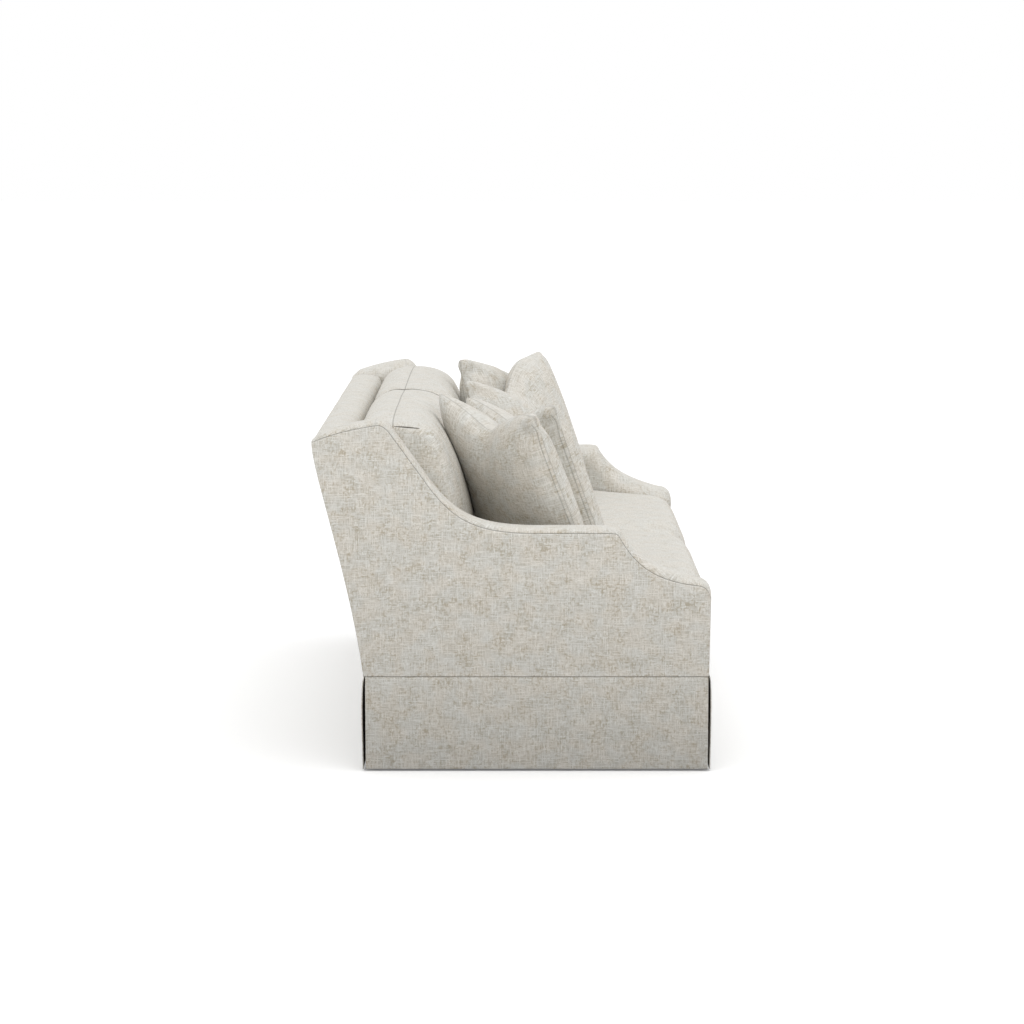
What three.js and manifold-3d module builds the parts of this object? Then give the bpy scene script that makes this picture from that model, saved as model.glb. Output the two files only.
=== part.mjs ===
// A skirted two-seat sofa with scoop arms, low wings and a straight back, in millimetres.
// The origin is on the floor under its middle. +X runs along the sofa, its front faces -Y and +Z is up.
// In the names, left is the -X end and right is the +X end.
import * as THREE from "three";
import { mergeVertices } from "three/addons/utils/BufferGeometryUtils.js";
import Module from "manifold-3d";

const wasm = await Module();
wasm.setup();

// Overall sizes
const width = 2180;
const depth = 1054;
const wingHeight = 917;
const armHeight = 632;
const deckHeight = 325; // cloth deck under the seat cushions
const seamHeight = 253; // where the skirt is sewn on
const frameHeight = 110; // underside of the timber frame
const armWidth = 140;
const backThickness = 98; // level, from the inside back's face to the rear line
const cushionOverhang = 9; // seat cushions past the arm fronts
const gap = 0.3; // between pieces that touch
const overrun = 20; // cutters past what they cut
const facetLength = 45; // along a curved edge
const weld = 0.001;

// Timber
const boardThickness = 15;
const railThickness = 25;
const postDepth = 60;
const stretcherHeight = 90;
const topRailHeight = 70;
const cornerBlockWidth = 90;
const cornerBlockDrop = 40; // below the rails' top
const cornerBlockHeight = 100;
const legWidth = 60;
const legFootWidth = 46;
const centreLegWidth = 44;

// Padding and cloth
const coverThickness = 8; // outside arm panels
const wrapThickness = 8; // arm strips and outside back
const stripCrown = 6;
const armPadThickness = 25;
const backPadThickness = 40;
const backRollHeight = 80;
const webbingThickness = 3;
const borderThickness = 12;
const borderSetback = 2; // border behind the skirt's outer face
const deckBuild = 35; // rails' top to the cloth deck
const dustThickness = 1;
const skirtThickness = 4;
const skirtProud = 5; // front skirt past the arm's foot
const rearSkirtInset = 2;
const hemClearance = 7;
const pleatSlit = 3;
const pleatThickness = 2;
const pleatWidth = 130;

// Lines that the pieces share
const frontLine = cushionOverhang - depth / 2;
const rearLine = depth / 2;
const railTop = deckHeight - deckBuild;
const armIn = width / 2 - armWidth;
const armPadOut = armIn + armPadThickness;
const innerBoardIn = armPadOut + gap;
const innerBoardOut = innerBoardIn + boardThickness;
const coverIn = width / 2 - coverThickness;
const outerBoardOut = coverIn - gap;
const outerBoardIn = outerBoardOut - boardThickness;
const alongX = new THREE.Vector3(1, 0, 0);
const alongY = new THREE.Vector3(0, 1, 0);
const alongZ = new THREE.Vector3(0, 0, 1);

// Materials
function material(color, roughness, metalness) {
  return new THREE.MeshStandardMaterial({ color, roughness, metalness });
}
const linen = material(0xd8d4ca, 0.95, 0);
const lining = material(0xcfcabd, 0.95, 0);
const blackCloth = material(0x3a3a3a, 0.95, 0);
const beech = material(0xb9935f, 0.7, 0);
const plywood = material(0xc9a877, 0.75, 0);
const darkWood = material(0x4a3020, 0.5, 0);
const springSteel = material(0x8c8f94, 0.35, 0.9);
const jute = material(0xa58b62, 0.9, 0);
const wadding = material(0xefece4, 1, 0);
const foam = material(0xe9dfb8, 0.9, 0);

const sofa = new THREE.Group();

function add(name, geometry, finish) {
  const mesh = new THREE.Mesh(geometry, finish);
  mesh.name = name;
  sofa.add(mesh);
  return mesh;
}

// The right-hand piece and its mirror image.
function addPair(name, geometry, finish) {
  add(`${name}_right`, geometry, finish);
  add(`${name}_left`, geometry, finish).scale.x = -1;
}

// Solids for cutting

function solidOf(geometry) {
  const bare = geometry.clone();
  bare.deleteAttribute("normal");
  bare.deleteAttribute("uv");
  const merged = mergeVertices(bare, weld);
  const vertProperties = merged.attributes.position.array;
  const triVerts = Uint32Array.from(merged.index.array);
  return new wasm.Manifold(new wasm.Mesh({ numProp: 3, vertProperties, triVerts }));
}

function geometryOf(solid) {
  const { vertProperties, triVerts } = solid.getMesh();
  const geometry = new THREE.BufferGeometry();
  geometry.setAttribute("position", new THREE.BufferAttribute(vertProperties, 3));
  geometry.setIndex(new THREE.BufferAttribute(triVerts, 1));
  geometry.computeVertexNormals();
  return geometry;
}

// The form with every corner moved out by a distance, or in by a negative one.
function grown(solid, distance) {
  const geometry = geometryOf(solid);
  const { position, normal } = geometry.attributes;
  for (let i = 0; i < position.count; i += 1) {
    const corner = new THREE.Vector3().fromBufferAttribute(position, i);
    corner.addScaledVector(new THREE.Vector3().fromBufferAttribute(normal, i), distance);
    position.setXYZ(i, corner.x, corner.y, corner.z);
  }
  return solidOf(geometry);
}

// The form's mirror image, at the sofa's other end.
function mirrored(solid) {
  const geometry = geometryOf(solid).scale(-1, 1, 1);
  geometry.setIndex(Array.from(geometry.index.array).reverse());
  return solidOf(geometry);
}

function largestBody(solid) {
  const bodies = solid.decompose();
  return bodies.reduce((best, body) => (body.volume() > best.volume() ? body : best));
}

function cutBy(form, neighbours, clearance) {
  return largestBody(neighbours.reduce((left, other) => left.subtract(grown(other, clearance)), form));
}

// Basic shapes

function block(x, y, z) {
  const size = [x, y, z].map(([low, high]) => high - low);
  const middle = [x, y, z].map(([low, high]) => (low + high) / 2);
  return new THREE.BoxGeometry(...size).translate(...middle);
}

// An outline in (Y, Z), extruded along X.
function slab(outline, [from, to], holes = []) {
  const shape = new THREE.Shape(outline);
  shape.holes = holes.map((hole) => new THREE.Path(hole));
  const geometry = new THREE.ExtrudeGeometry(shape, { depth: to - from, bevelEnabled: false });
  geometry.applyMatrix4(new THREE.Matrix4().makeBasis(alongY, alongZ, alongX));
  return geometry.translate(from, 0, 0);
}

// An outline in (X, Y), extruded up from a height.
function plate(outline, [from, to], holes = []) {
  const shape = new THREE.Shape(outline);
  shape.holes = holes.map((hole) => new THREE.Path(hole));
  const geometry = new THREE.ExtrudeGeometry(shape, { depth: to - from, bevelEnabled: false });
  return geometry.translate(0, 0, from);
}

function rectangle([left, right], [near, far]) {
  return [
    new THREE.Vector2(left, near),
    new THREE.Vector2(right, near),
    new THREE.Vector2(right, far),
    new THREE.Vector2(left, far),
  ];
}

// A closed skin over rings of equally many points, with a point in the middle of each end.
function loft(rings, startPole, endPole) {
  const count = rings[0].length;
  const points = [startPole, ...rings.flat(), endPole];
  const last = points.length - 1;
  const index = [];
  for (let i = 0; i < count; i += 1) {
    const next = (i + 1) % count;
    index.push(0, 1 + next, 1 + i);
    index.push(last, last - count + i, last - count + next);
    for (let ring = 0; ring < rings.length - 1; ring += 1) {
      const near = 1 + ring * count;
      const far = near + count;
      index.push(near + i, near + next, far + next, near + i, far + next, far + i);
    }
  }
  const geometry = new THREE.BufferGeometry().setFromPoints(points);
  geometry.setIndex(index);
  if (signedVolume(geometry) < 0) geometry.setIndex(index.reverse());
  geometry.computeVertexNormals();
  return geometry;
}

function signedVolume(geometry) {
  const { position } = geometry.attributes;
  const corner = (k) => new THREE.Vector3().fromBufferAttribute(position, geometry.index.getX(k));
  let volume = 0;
  for (let k = 0; k < geometry.index.count; k += 3) {
    volume += corner(k).dot(corner(k + 1).cross(corner(k + 2)));
  }
  return volume;
}

function middleOf(points) {
  return points.reduce((sum, p) => sum.add(p), new THREE.Vector3()).divideScalar(points.length);
}

// The arm's side outline: shares of the depth, and of the height between two levels.

function places(shares, low, high) {
  const entries = Object.entries(shares).map(([name, [back, up]]) => {
    const y = frontLine + back * (rearLine - frontLine);
    return [name, new THREE.Vector2(y, low + up * (high - low))];
  });
  return Object.fromEntries(entries);
}

const armShares = {
  foot: [0.003, 0],
  frontTop: [0, 0.493],
  nosePull: [0.001, 0.607],
  nose: [0.027, 0.623],
  scoopPullLow: [0.151, 0.678],
  scoopPullHigh: [0.199, 0.85],
  scoopTop: [0.239, 0.982],
  crestPull: [0.246, 1],
  crest: [0.266, 1],
  flatEnd: [0.429, 1],
};
const wingShares = {
  sweepPullLow: [0.582, 0],
  sweepPullHigh: [0.649, 0.133],
  sweepTop: [0.727, 0.519],
  peakFoot: [0.804, 0.916],
  peakPull: [0.819, 0.996],
  peak: [0.8325, 1],
  wingPull: [0.926, 0.958],
  rearCorner: [1, 0.842],
};
const rearShares = {
  pullHigh: [1.001, 0.824],
  pullLow: [0.907, 0.402],
  foot: [0.874, 0],
};
const arm = places(armShares, seamHeight, armHeight);
const wing = places(wingShares, armHeight, wingHeight);
const rear = places(rearShares, seamHeight, wingHeight);

function pointsAlong(curves) {
  const runs = curves.map((curve) => {
    const least = curve.isLineCurve ? 1 : 3;
    const steps = curve.isLineCurve ? 1 : Math.round(curve.getLength() / facetLength);
    return curve.getPoints(Math.max(least, steps)).slice(1);
  });
  return [curves[0].getPoint(0), ...runs.flat()];
}

// From the arm's front foot, up the front and over the scoop, the arm, the sweep and the wing.
const topRun = pointsAlong([
  new THREE.LineCurve(arm.foot, arm.frontTop),
  new THREE.QuadraticBezierCurve(arm.frontTop, arm.nosePull, arm.nose),
  new THREE.CubicBezierCurve(arm.nose, arm.scoopPullLow, arm.scoopPullHigh, arm.scoopTop),
  new THREE.QuadraticBezierCurve(arm.scoopTop, arm.crestPull, arm.crest),
  new THREE.LineCurve(arm.crest, arm.flatEnd),
  new THREE.CubicBezierCurve(arm.flatEnd, wing.sweepPullLow, wing.sweepPullHigh, wing.sweepTop),
  new THREE.LineCurve(wing.sweepTop, wing.peakFoot),
  new THREE.QuadraticBezierCurve(wing.peakFoot, wing.peakPull, wing.peak),
  new THREE.QuadraticBezierCurve(wing.peak, wing.wingPull, wing.rearCorner),
]);
const rearCurve = new THREE.CubicBezierCurve(wing.rearCorner, rear.pullHigh, rear.pullLow, rear.foot);
const rearRun = pointsAlong([rearCurve]);

// The rear line's Y at a height: upright below the seam and above the rear corner.
function rearAt(height) {
  const upper = rearRun.findIndex((p) => p.y <= height);
  if (upper < 0) return rear.foot.x;
  if (upper === 0) return wing.rearCorner.x;
  const [above, below] = [rearRun[upper - 1], rearRun[upper]];
  return below.x + ((above.x - below.x) * (height - below.y)) / (above.y - below.y);
}

// Points up a line that stands level with the rear line, a distance in front of it.
function leaning(inFront, low, high) {
  const between = rearRun.map((p) => p.y).filter((height) => height > low && height < high);
  return [low, ...between.reverse(), high].map((height) => {
    return new THREE.Vector2(rearAt(height) - inFront, height);
  });
}

function leaningBand(front, back, low, high) {
  return [...leaning(back, low, high), ...leaning(front, low, high).reverse()];
}

// The mitred normal on the left of a run at one of its points.
function leftNormal(before, at, after) {
  const arriving = at.clone().sub(before).normalize();
  const leaving = after.clone().sub(at).normalize();
  const sum = new THREE.Vector2(-(arriving.y + leaving.y), arriving.x + leaving.x);
  return sum.divideScalar(1 + arriving.dot(leaving));
}

function inset(outline, distance) {
  const count = outline.length;
  return outline.map((at, i) => {
    const normal = leftNormal(outline[(i + count - 1) % count], at, outline[(i + 1) % count]);
    return at.clone().addScaledVector(normal, distance);
  });
}

// The arm's outline down to a level, all of it drawn in by a distance.
function armOutline(bottom, inward) {
  const foot = bottom - inward;
  const run = [...topRun, ...rearRun.slice(1)].filter((p) => p.y > foot);
  const ends = [new THREE.Vector2(arm.foot.x, foot), new THREE.Vector2(rearAt(foot), foot)];
  return inset([ends[0], ...run, ends[1]].reverse(), inward);
}

// Levels of the back's layers in front of the rear line
const postFront = backThickness - backPadThickness - webbingThickness - gap - gap;
const postBack = wrapThickness + gap;
const padBack = backThickness - backPadThickness;
const backSeamHeight = wing.rearCorner.y - wrapThickness;
const topRailTop = backSeamHeight - wrapThickness - wrapThickness / 2;
const springWire = 1.8; // radius
const springLevel = railTop + springWire + gap;
const backPadBottom = springLevel + springWire + wrapThickness;

// Timber frame

const railEnds = [-armPadOut, armPadOut];
const borderBack = arm.foot.x - borderSetback + borderThickness;
const frontRailY = [borderBack + gap, borderBack + gap + railThickness];
const backRailFront = rearAt(railTop) - postBack - postDepth / 2 - railThickness / 2;
const backRailY = [backRailFront, backRailFront + railThickness];
const stretcherY = [frontRailY[1] + gap, backRailY[0] - gap];
const postX = [innerBoardOut + gap, outerBoardIn - gap];

function addFrame() {
  const railZ = [frameHeight, railTop];
  add("front_rail", block(railEnds, frontRailY, railZ), beech);
  add("back_rail", block(railEnds, backRailY, railZ), beech);
  const half = railThickness / 2;
  const stretcherZ = [frameHeight, frameHeight + stretcherHeight];
  add("seat_stretcher", block([-half, half], stretcherY, stretcherZ), beech);
  const boardOutline = armOutline(frameHeight, wrapThickness + gap);
  addPair("arm_outer_board", slab(boardOutline, [outerBoardIn, outerBoardOut]), plywood);
  addPair("arm_inner_board", slab(boardOutline, [innerBoardIn, innerBoardOut]), plywood);
  const frontPostFront = arm.foot.x + wrapThickness + gap;
  const frontPostY = [frontPostFront, frontPostFront + postDepth];
  addPair("front_post", block(postX, frontPostY, [frameHeight, arm.frontTop.y]), beech);
  const backPost = leaningBand(postBack + postDepth, postBack, frameHeight, wing.sweepTop.y);
  addPair("back_post", slab(backPost, postX), beech);
  const topRailBottom = topRailTop - topRailHeight;
  const centrePost = leaningBand(postFront, postBack, railTop + gap, topRailBottom - gap);
  add("back_centre_post", slab(centrePost, [-half, half]), beech);
  add("back_top_rail", slab(topRailOutline(), railEnds), beech);
  addCornerBlocks();
}

function topRailOutline() {
  return leaningBand(postFront, postBack, topRailTop - topRailHeight, topRailTop);
}

function addCornerBlocks() {
  const top = railTop - cornerBlockDrop;
  const x = armPadOut;
  const corners = { front: [stretcherY[0], cornerBlockWidth], rear: [stretcherY[1], -cornerBlockWidth] };
  for (const [place, [y, reach]] of Object.entries(corners)) {
    const triangle = [
      new THREE.Vector2(x, y),
      new THREE.Vector2(x, y + reach),
      new THREE.Vector2(x - cornerBlockWidth, y),
    ];
    addPair(`corner_block_${place}`, plate(triangle, [top - cornerBlockHeight, top]), beech);
  }
}

// Legs

function legAt(x, y, topWidth, footWidth) {
  const height = frameHeight - gap;
  const leg = new THREE.CylinderGeometry(topWidth / Math.SQRT2, footWidth / Math.SQRT2, height, 4);
  leg.rotateY(Math.PI / 4).rotateX(Math.PI / 2);
  return leg.translate(x, y, height / 2);
}

const centreLegY = (stretcherY[0] + stretcherY[1]) / 2;

function addLegs() {
  const x = (postX[0] + postX[1]) / 2;
  const front = arm.foot.x + wrapThickness + gap + postDepth / 2;
  const back = rear.foot.x - postBack - postDepth / 2;
  addPair("leg_front", legAt(x, front, legWidth - gap, legFootWidth), darkWood);
  addPair("leg_rear", legAt(x, back, legWidth - gap, legFootWidth), darkWood);
  const centreFootWidth = centreLegWidth * (legFootWidth / legWidth);
  add("leg_centre", legAt(0, centreLegY, centreLegWidth, centreFootWidth), darkWood);
}

// Seat springs: rows of wire bent side to side, which arch up between the rails

const springCrown = 16;
const springSpread = 46; // across one row
const springRows = 4;
const springBends = 10;
const springWireSides = 4;
const tieWireShares = [0.33, 0.67];
const bendShare = 1 / 6; // of a bend's step, on each side of its straight run
const springY = [(frontRailY[0] + frontRailY[1]) / 2, (backRailY[0] + backRailY[1]) / 2];

function springHeightAt(y) {
  const share = (y - springY[0]) / (springY[1] - springY[0]);
  return springLevel + springCrown * (1 - (2 * share - 1) ** 2);
}

function wireAlong(points, radius) {
  const rings = points.map((at, i) => {
    const before = points[Math.max(i - 1, 0)];
    const after = points[Math.min(i + 1, points.length - 1)];
    const heading = after.clone().sub(before).normalize();
    const side = heading.clone().cross(alongZ).normalize();
    const up = side.clone().cross(heading);
    return Array.from({ length: springWireSides }, (_, k) => {
      const turn = (2 * Math.PI * k) / springWireSides;
      const corner = at.clone().addScaledVector(side, radius * Math.cos(turn));
      return corner.addScaledVector(up, radius * Math.sin(turn));
    });
  });
  return loft(rings, points[0], points[points.length - 1]);
}

function springRow(x) {
  const step = (springY[1] - springY[0]) / springBends;
  const points = [];
  for (let bend = 0; bend < springBends; bend += 1) {
    const side = x + (bend % 2 ? 1 : -1) * (springSpread / 2);
    const start = springY[0] + bend * step;
    for (const y of [start + step * bendShare, start + step * (1 - bendShare)]) {
      points.push(new THREE.Vector3(side, y, springHeightAt(y)));
    }
  }
  return solidOf(wireAlong(points, springWire));
}

function addSprings() {
  const unitX = [railThickness, armIn - railThickness];
  const pitch = (unitX[1] - unitX[0]) / springRows;
  const rows = Array.from({ length: springRows }, (_, i) => springRow(unitX[0] + pitch * (i + 1 / 2)));
  const ties = tieWireShares.map((share) => {
    const y = springY[0] + share * (springY[1] - springY[0]);
    const ends = unitX.map((x) => new THREE.Vector3(x, y, springHeightAt(y)));
    return solidOf(wireAlong(ends, springWire));
  });
  const unit = [...rows, ...ties].reduce((all, piece) => all.add(piece));
  addPair("seat_spring_unit", geometryOf(unit), springSteel);
}

// Webbing behind the inside back's pad: a net of straps

const webbingColumns = 8;
const webbingRows = 3;
const strapWidth = 60;

function addWebbing() {
  const ends = [-armIn + gap, armIn - gap];
  const low = backPadBottom;
  const high = topRailTop;
  const back = postFront + gap;
  const sheet = solidOf(slab(leaningBand(back + webbingThickness, back, low, high), ends));
  const columnPitch = (ends[1] - ends[0] - strapWidth) / webbingColumns;
  const rowPitch = (high - low - strapWidth) / webbingRows;
  let net = sheet;
  for (let column = 0; column < webbingColumns; column += 1) {
    for (let row = 0; row < webbingRows; row += 1) {
      const left = ends[0] + strapWidth + column * columnPitch;
      const foot = low + strapWidth + row * rowPitch;
      const window = block(
        [left, left + columnPitch - strapWidth],
        [rearAt(low) - backThickness - overrun, rearLine + overrun],
        [foot, foot + rowPitch - strapWidth],
      );
      net = net.subtract(solidOf(window));
    }
  }
  add("back_webbing", geometryOf(net), jute);
}

// Deck and pads

function addDeckPad() {
  const y = [borderBack + gap, rearAt(railTop) - backThickness - gap];
  const steps = Math.round((y[1] - y[0]) / (facetLength + facetLength));
  const underside = Array.from({ length: steps + 1 }, (_, i) => {
    const at = y[0] + ((y[1] - y[0]) * i) / steps;
    return new THREE.Vector2(at, springHeightAt(at) + springWire + gap);
  });
  const outline = [...underside, new THREE.Vector2(y[1], deckHeight), new THREE.Vector2(y[0], deckHeight)];
  add("deck_pad", slab(outline, [-armIn + gap, armIn - gap]), wadding);
}

// The inside back: up the face, over the rolled top edge, down to the rear seam and back under the roll.
const rollShares = {
  start: [1, 0.55],
  pullLow: [0.96, 0.75],
  pullHigh: [0.94, 1],
  top: [0.42, 1],
  rearPull: [0.12, 1],
};

function insideBackOutline() {
  const rollTop = wing.rearCorner.y + wrapThickness + wrapThickness - gap;
  const roll = Object.fromEntries(
    Object.entries(rollShares).map(([name, [forward, up]]) => {
      const height = rollTop - backRollHeight * (1 - up);
      return [name, new THREE.Vector2(rearAt(height) - forward * backThickness, height)];
    }),
  );
  const seam = new THREE.Vector2(rearLine, wing.rearCorner.y);
  const over = pointsAlong([
    new THREE.CubicBezierCurve(roll.start, roll.pullLow, roll.pullHigh, roll.top),
    new THREE.QuadraticBezierCurve(roll.top, roll.rearPull, seam),
  ]);
  const under = topRailTop + gap;
  return [
    ...leaning(backThickness, backPadBottom, roll.start.y).slice(0, -1),
    ...over,
    new THREE.Vector2(rearAt(backSeamHeight), backSeamHeight),
    new THREE.Vector2(rearAt(backSeamHeight) - postBack, backSeamHeight),
    new THREE.Vector2(rearAt(under) - postBack, under),
    ...leaning(padBack, backPadBottom, under).reverse(),
  ];
}

const insideBack = solidOf(slab(insideBackOutline(), [-armIn + gap, armIn - gap]));

// The pad on the arm's inner face, notched where the top rail passes through it.
function armPad() {
  const pad = solidOf(slab(armOutline(railTop + gap, wrapThickness + gap), [armIn, armPadOut]));
  const rail = slab(inset(topRailOutline(), -gap), [armIn - overrun, armPadOut + overrun]);
  return geometryOf(largestBody(pad.subtract(solidOf(rail))));
}

// Covers

// Shares of the strip's width, then of its thickness below the seams or of its crown above them
const stripShares = [
  [0, -1],
  [0, -0.12],
  [0.12, 0.65],
  [0.5, 1],
  [0.88, 0.65],
  [1, -0.12],
  [1, -1],
];

function armStrip() {
  const acrossX = outerBoardOut - armIn;
  const last = topRun.length - 1;
  const rings = topRun.map((at, i) => {
    const before = i === 0 ? at.clone().sub(topRun[1]).add(at) : topRun[i - 1];
    const after = i === last ? at.clone().sub(topRun[last - 1]).add(at) : topRun[i + 1];
    const outward = leftNormal(before, at, after);
    const crown = i === 0 || i === last ? 0 : stripCrown;
    return stripShares.map(([across, up]) => {
      const lift = up * (up < 0 ? wrapThickness : crown);
      return new THREE.Vector3(armIn + across * acrossX, at.x + outward.x * lift, at.y + outward.y * lift);
    });
  });
  return loft(rings, middleOf(rings[0]), middleOf(rings[last]));
}

function addCovers() {
  addPair("outside_arm", slab(armOutline(seamHeight, 0), [coverIn, width / 2]), linen);
  addPair("arm_strip", armStrip(), linen);
  addPair("arm_pad", armPad(), linen);
  add("inside_back_pad", geometryOf(insideBack), linen);
  const panel = leaningBand(wrapThickness, 0, seamHeight, backSeamHeight - gap);
  add("outside_back_panel", slab(panel, [-outerBoardOut, outerBoardOut]), linen);
  const borderY = [borderBack - borderThickness, borderBack];
  add("front_border", block([-armIn + gap, armIn - gap], borderY, [seamHeight, deckHeight]), linen);
  const edge = innerBoardOut;
  const hole = rectangle(
    [-centreLegWidth / 2 - gap, centreLegWidth / 2 + gap],
    [centreLegY - centreLegWidth / 2 - gap, centreLegY + centreLegWidth / 2 + gap],
  );
  const dust = plate(
    rectangle([-edge, edge], [frontRailY[0], backRailY[1]]),
    [frameHeight - gap - dustThickness, frameHeight - gap],
    [hole.reverse()],
  );
  add("dust_cover", dust, blackCloth);
}

// Skirt: four flat panels, with an underlay folded round the inside of each corner slit

function addSkirt() {
  const z = [hemClearance, seamHeight - gap];
  const frontFace = arm.foot.x - skirtProud;
  const frontBack = frontFace + skirtThickness;
  const rearFace = rear.foot.x - rearSkirtInset;
  const rearBack = rearFace - skirtThickness;
  const ends = [-width / 2, width / 2];
  add("skirt_front", block(ends, [frontFace, frontBack], z), linen);
  add("skirt_back", block(ends, [rearBack, rearFace], z), linen);
  const sideX = [width / 2 - skirtThickness, width / 2];
  addPair("skirt_side", block(sideX, [frontBack + pleatSlit, rearBack - pleatSlit], z), linen);
  const underZ = [hemClearance + pleatThickness, seamHeight - gap];
  const corners = { front: [frontBack + gap, 1], rear: [rearBack - gap, -1] };
  for (const [place, [y, inward]] of Object.entries(corners)) {
    const x = sideX[0] - gap;
    const fold = [
      [x, y],
      [x, y + inward * pleatWidth],
      [x - pleatThickness, y + inward * pleatWidth],
      [x - pleatThickness, y + inward * pleatThickness],
      [x - pleatWidth, y + inward * pleatThickness],
      [x - pleatWidth, y],
    ];
    addPair(`pleat_underlay_${place}`, plate(fold.map((p) => new THREE.Vector2(...p)), underZ), lining);
  }
}

// Loose cushions and pillows. Each is a cover with a slit, its zip, round an insert.
// A form is cut by what it rests against, so it lies flat there.

const cushionCloth = 4;
const zipWidth = 3;
const zipLength = 480;

function stuffed(form, innerForm, neighbours, zip) {
  const outer = cutBy(form, neighbours, gap);
  const hollow = cutBy(grown(innerForm, -cushionCloth), neighbours, gap + cushionCloth);
  const insert = cutBy(grown(innerForm, -cushionCloth - gap), neighbours, gap + cushionCloth + gap);
  return { cover: outer.subtract(hollow).subtract(solidOf(zip)), insert };
}

// Seat cushions

const seatThickness = 185;
const seatEdgeRoundX = 22;
const seatEdgeRoundY = 48;
const cushionDrawIn = 5; // sides behind the corners
const ringPoints = 28;
const cornerPower = 9; // how square a ring is
// Shares of the edge rounding and of the thickness, from the underside up
const seatEdgeShares = [
  [0.5, 0],
  [0.12, 0.1],
  [0, 0.42],
  [0.2, 0.65],
  [0.5, 0.81],
  [1, 0.92],
];
const seatCrownShares = [0.62, 0.985]; // of the half sizes and of the thickness

const seatX = [gap, armIn - gap - gap];
const seatY = [-rearLine, rearAt(deckHeight) - backThickness - gap];
const seatBottom = deckHeight + gap;
const seatTop = seatBottom + seatThickness;
const seatMiddle = new THREE.Vector3((seatX[0] + seatX[1]) / 2, (seatY[0] + seatY[1]) / 2, seatBottom);

function squared(share) {
  return Math.sign(share) * Math.abs(share) ** (2 / cornerPower);
}

// A squared ring whose sides draw in between its corners.
function cushionRing(middle, halfX, halfY, height, count) {
  return Array.from({ length: count }, (_, i) => {
    const turn = (2 * Math.PI * i) / count;
    const across = squared(Math.cos(turn));
    const along = squared(Math.sin(turn));
    const x = across * (halfX + cushionDrawIn * along ** 2);
    const y = along * (halfY + cushionDrawIn * across ** 2);
    return new THREE.Vector3(middle.x + x, middle.y + y, height);
  });
}

// An inner form has half the rings and half the points, all of them on the full form.
function seatForm(inner) {
  const count = inner ? ringPoints / 2 : ringPoints;
  const half = [(seatX[1] - seatX[0]) / 2, (seatY[1] - seatY[0]) / 2];
  const edges = seatEdgeShares.filter((_, i) => !inner || i % 2 === 0).map(([edge, up]) => {
    const [halfX, halfY] = [half[0] - edge * seatEdgeRoundX, half[1] - edge * seatEdgeRoundY];
    return cushionRing(seatMiddle, halfX, halfY, seatBottom + up * seatThickness, count);
  });
  const [size, up] = seatCrownShares;
  const crownHeight = seatBottom + up * seatThickness;
  const crown = cushionRing(seatMiddle, half[0] * size, half[1] * size, crownHeight, count);
  return solidOf(loft([...edges, crown], seatMiddle, seatMiddle.clone().setZ(seatTop)));
}

// Back cushions: one profile, drawn in toward both ends

const backCushionThickness = 263;
const backCushionHeight = 453;
const backCushionSink = 20; // its foot below the seat cushion's crown
// Shares of the thickness in front of the inside back, and of the height
const backProfileShares = [
  [0.875, 0.022],
  [0.95, 0.11],
  [0.99, 0.3],
  [1, 0.53],
  [1, 0.7],
  [0.93, 0.835],
  [0.84, 0.925],
  [0.72, 0.98],
  [0.53, 1],
  [0.395, 0.94],
  [0.29, 0.955],
  [0.13, 0.925],
  [0.02, 0.85],
  [0, 0.7],
  [0, 0.45],
  [0, 0.2],
  [0, 0],
];
// Shares of the half length, then of the profile's thickness and height
const backStationShares = [
  [1, 0.88, 0.82],
  [0.965, 0.95, 0.91],
  [0.86, 0.985, 0.96],
  [0.5, 1, 0.99],
];
const backMiddleShares = [0.45, 0.4]; // the point that the profile draws in to

function backCushionForm(inner) {
  const half = (seatX[1] - seatX[0]) / 2;
  const foot = seatTop - backCushionSink;
  const profile = backProfileShares.map(([forward, up]) => {
    const height = foot + up * backCushionHeight;
    return new THREE.Vector2(rearAt(height) - backThickness - forward * backCushionThickness, height);
  });
  const middleHeight = foot + backMiddleShares[1] * backCushionHeight;
  const middleFront = backThickness + backMiddleShares[0] * backCushionThickness;
  const middle = new THREE.Vector2(rearAt(middleHeight) - middleFront, middleHeight);
  const shares = backStationShares.filter((_, i) => !inner || i % 2 === 0);
  const stations = [...shares.map(([along, ...sizes]) => [-along, ...sizes]), ...shares.reverse()];
  const rings = stations.map(([along, deep, tall]) => {
    const x = seatMiddle.x + along * half;
    return profile.map((p) => {
      const y = middle.x + (p.x - middle.x) * deep;
      return new THREE.Vector3(x, y, middle.y + (p.y - middle.y) * tall);
    });
  });
  return solidOf(loft(rings, middleOf(rings[0]), middleOf(rings[rings.length - 1])));
}

// Pillows: square, knife-edged, with a chop in the top edge

const pillowEdge = 480;
const pillowThickness = 140;
const chopDepth = 60;
const chopWidthShare = 0.7;
const chopPower = 1.3; // how pointed the chop is
const pillowDrawInShare = 0.05;
const earShare = 0.985;
const pillowPower = 2.2;
const pillowRingShares = [0.35, 0.65, 0.88];
const innerPillowRingShares = [0.45, 0.88];
const pillowSideSteps = 6;
// The middle of each pillow's lower edge, from the arm's inner face and in front of the inside back,
// its sink below the seat's crown, and its turns
const pillows = {
  pillow_rear_left: { fromArm: 292, inFront: 408, sink: 8, yaw: 31.1, lean: 25.8, roll: 2.1 },
  pillow_front_left: { fromArm: 453, inFront: 443, sink: 26, yaw: 30.4, lean: 21.8, roll: -1.5 },
  pillow_rear_right: { fromArm: 320, inFront: 339, sink: 21, yaw: -26.2, lean: 12.1, roll: 0.7 },
  pillow_front_right: { fromArm: 493, inFront: 415, sink: 28, yaw: -31.4, lean: 17.1, roll: 7.3 },
};

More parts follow.
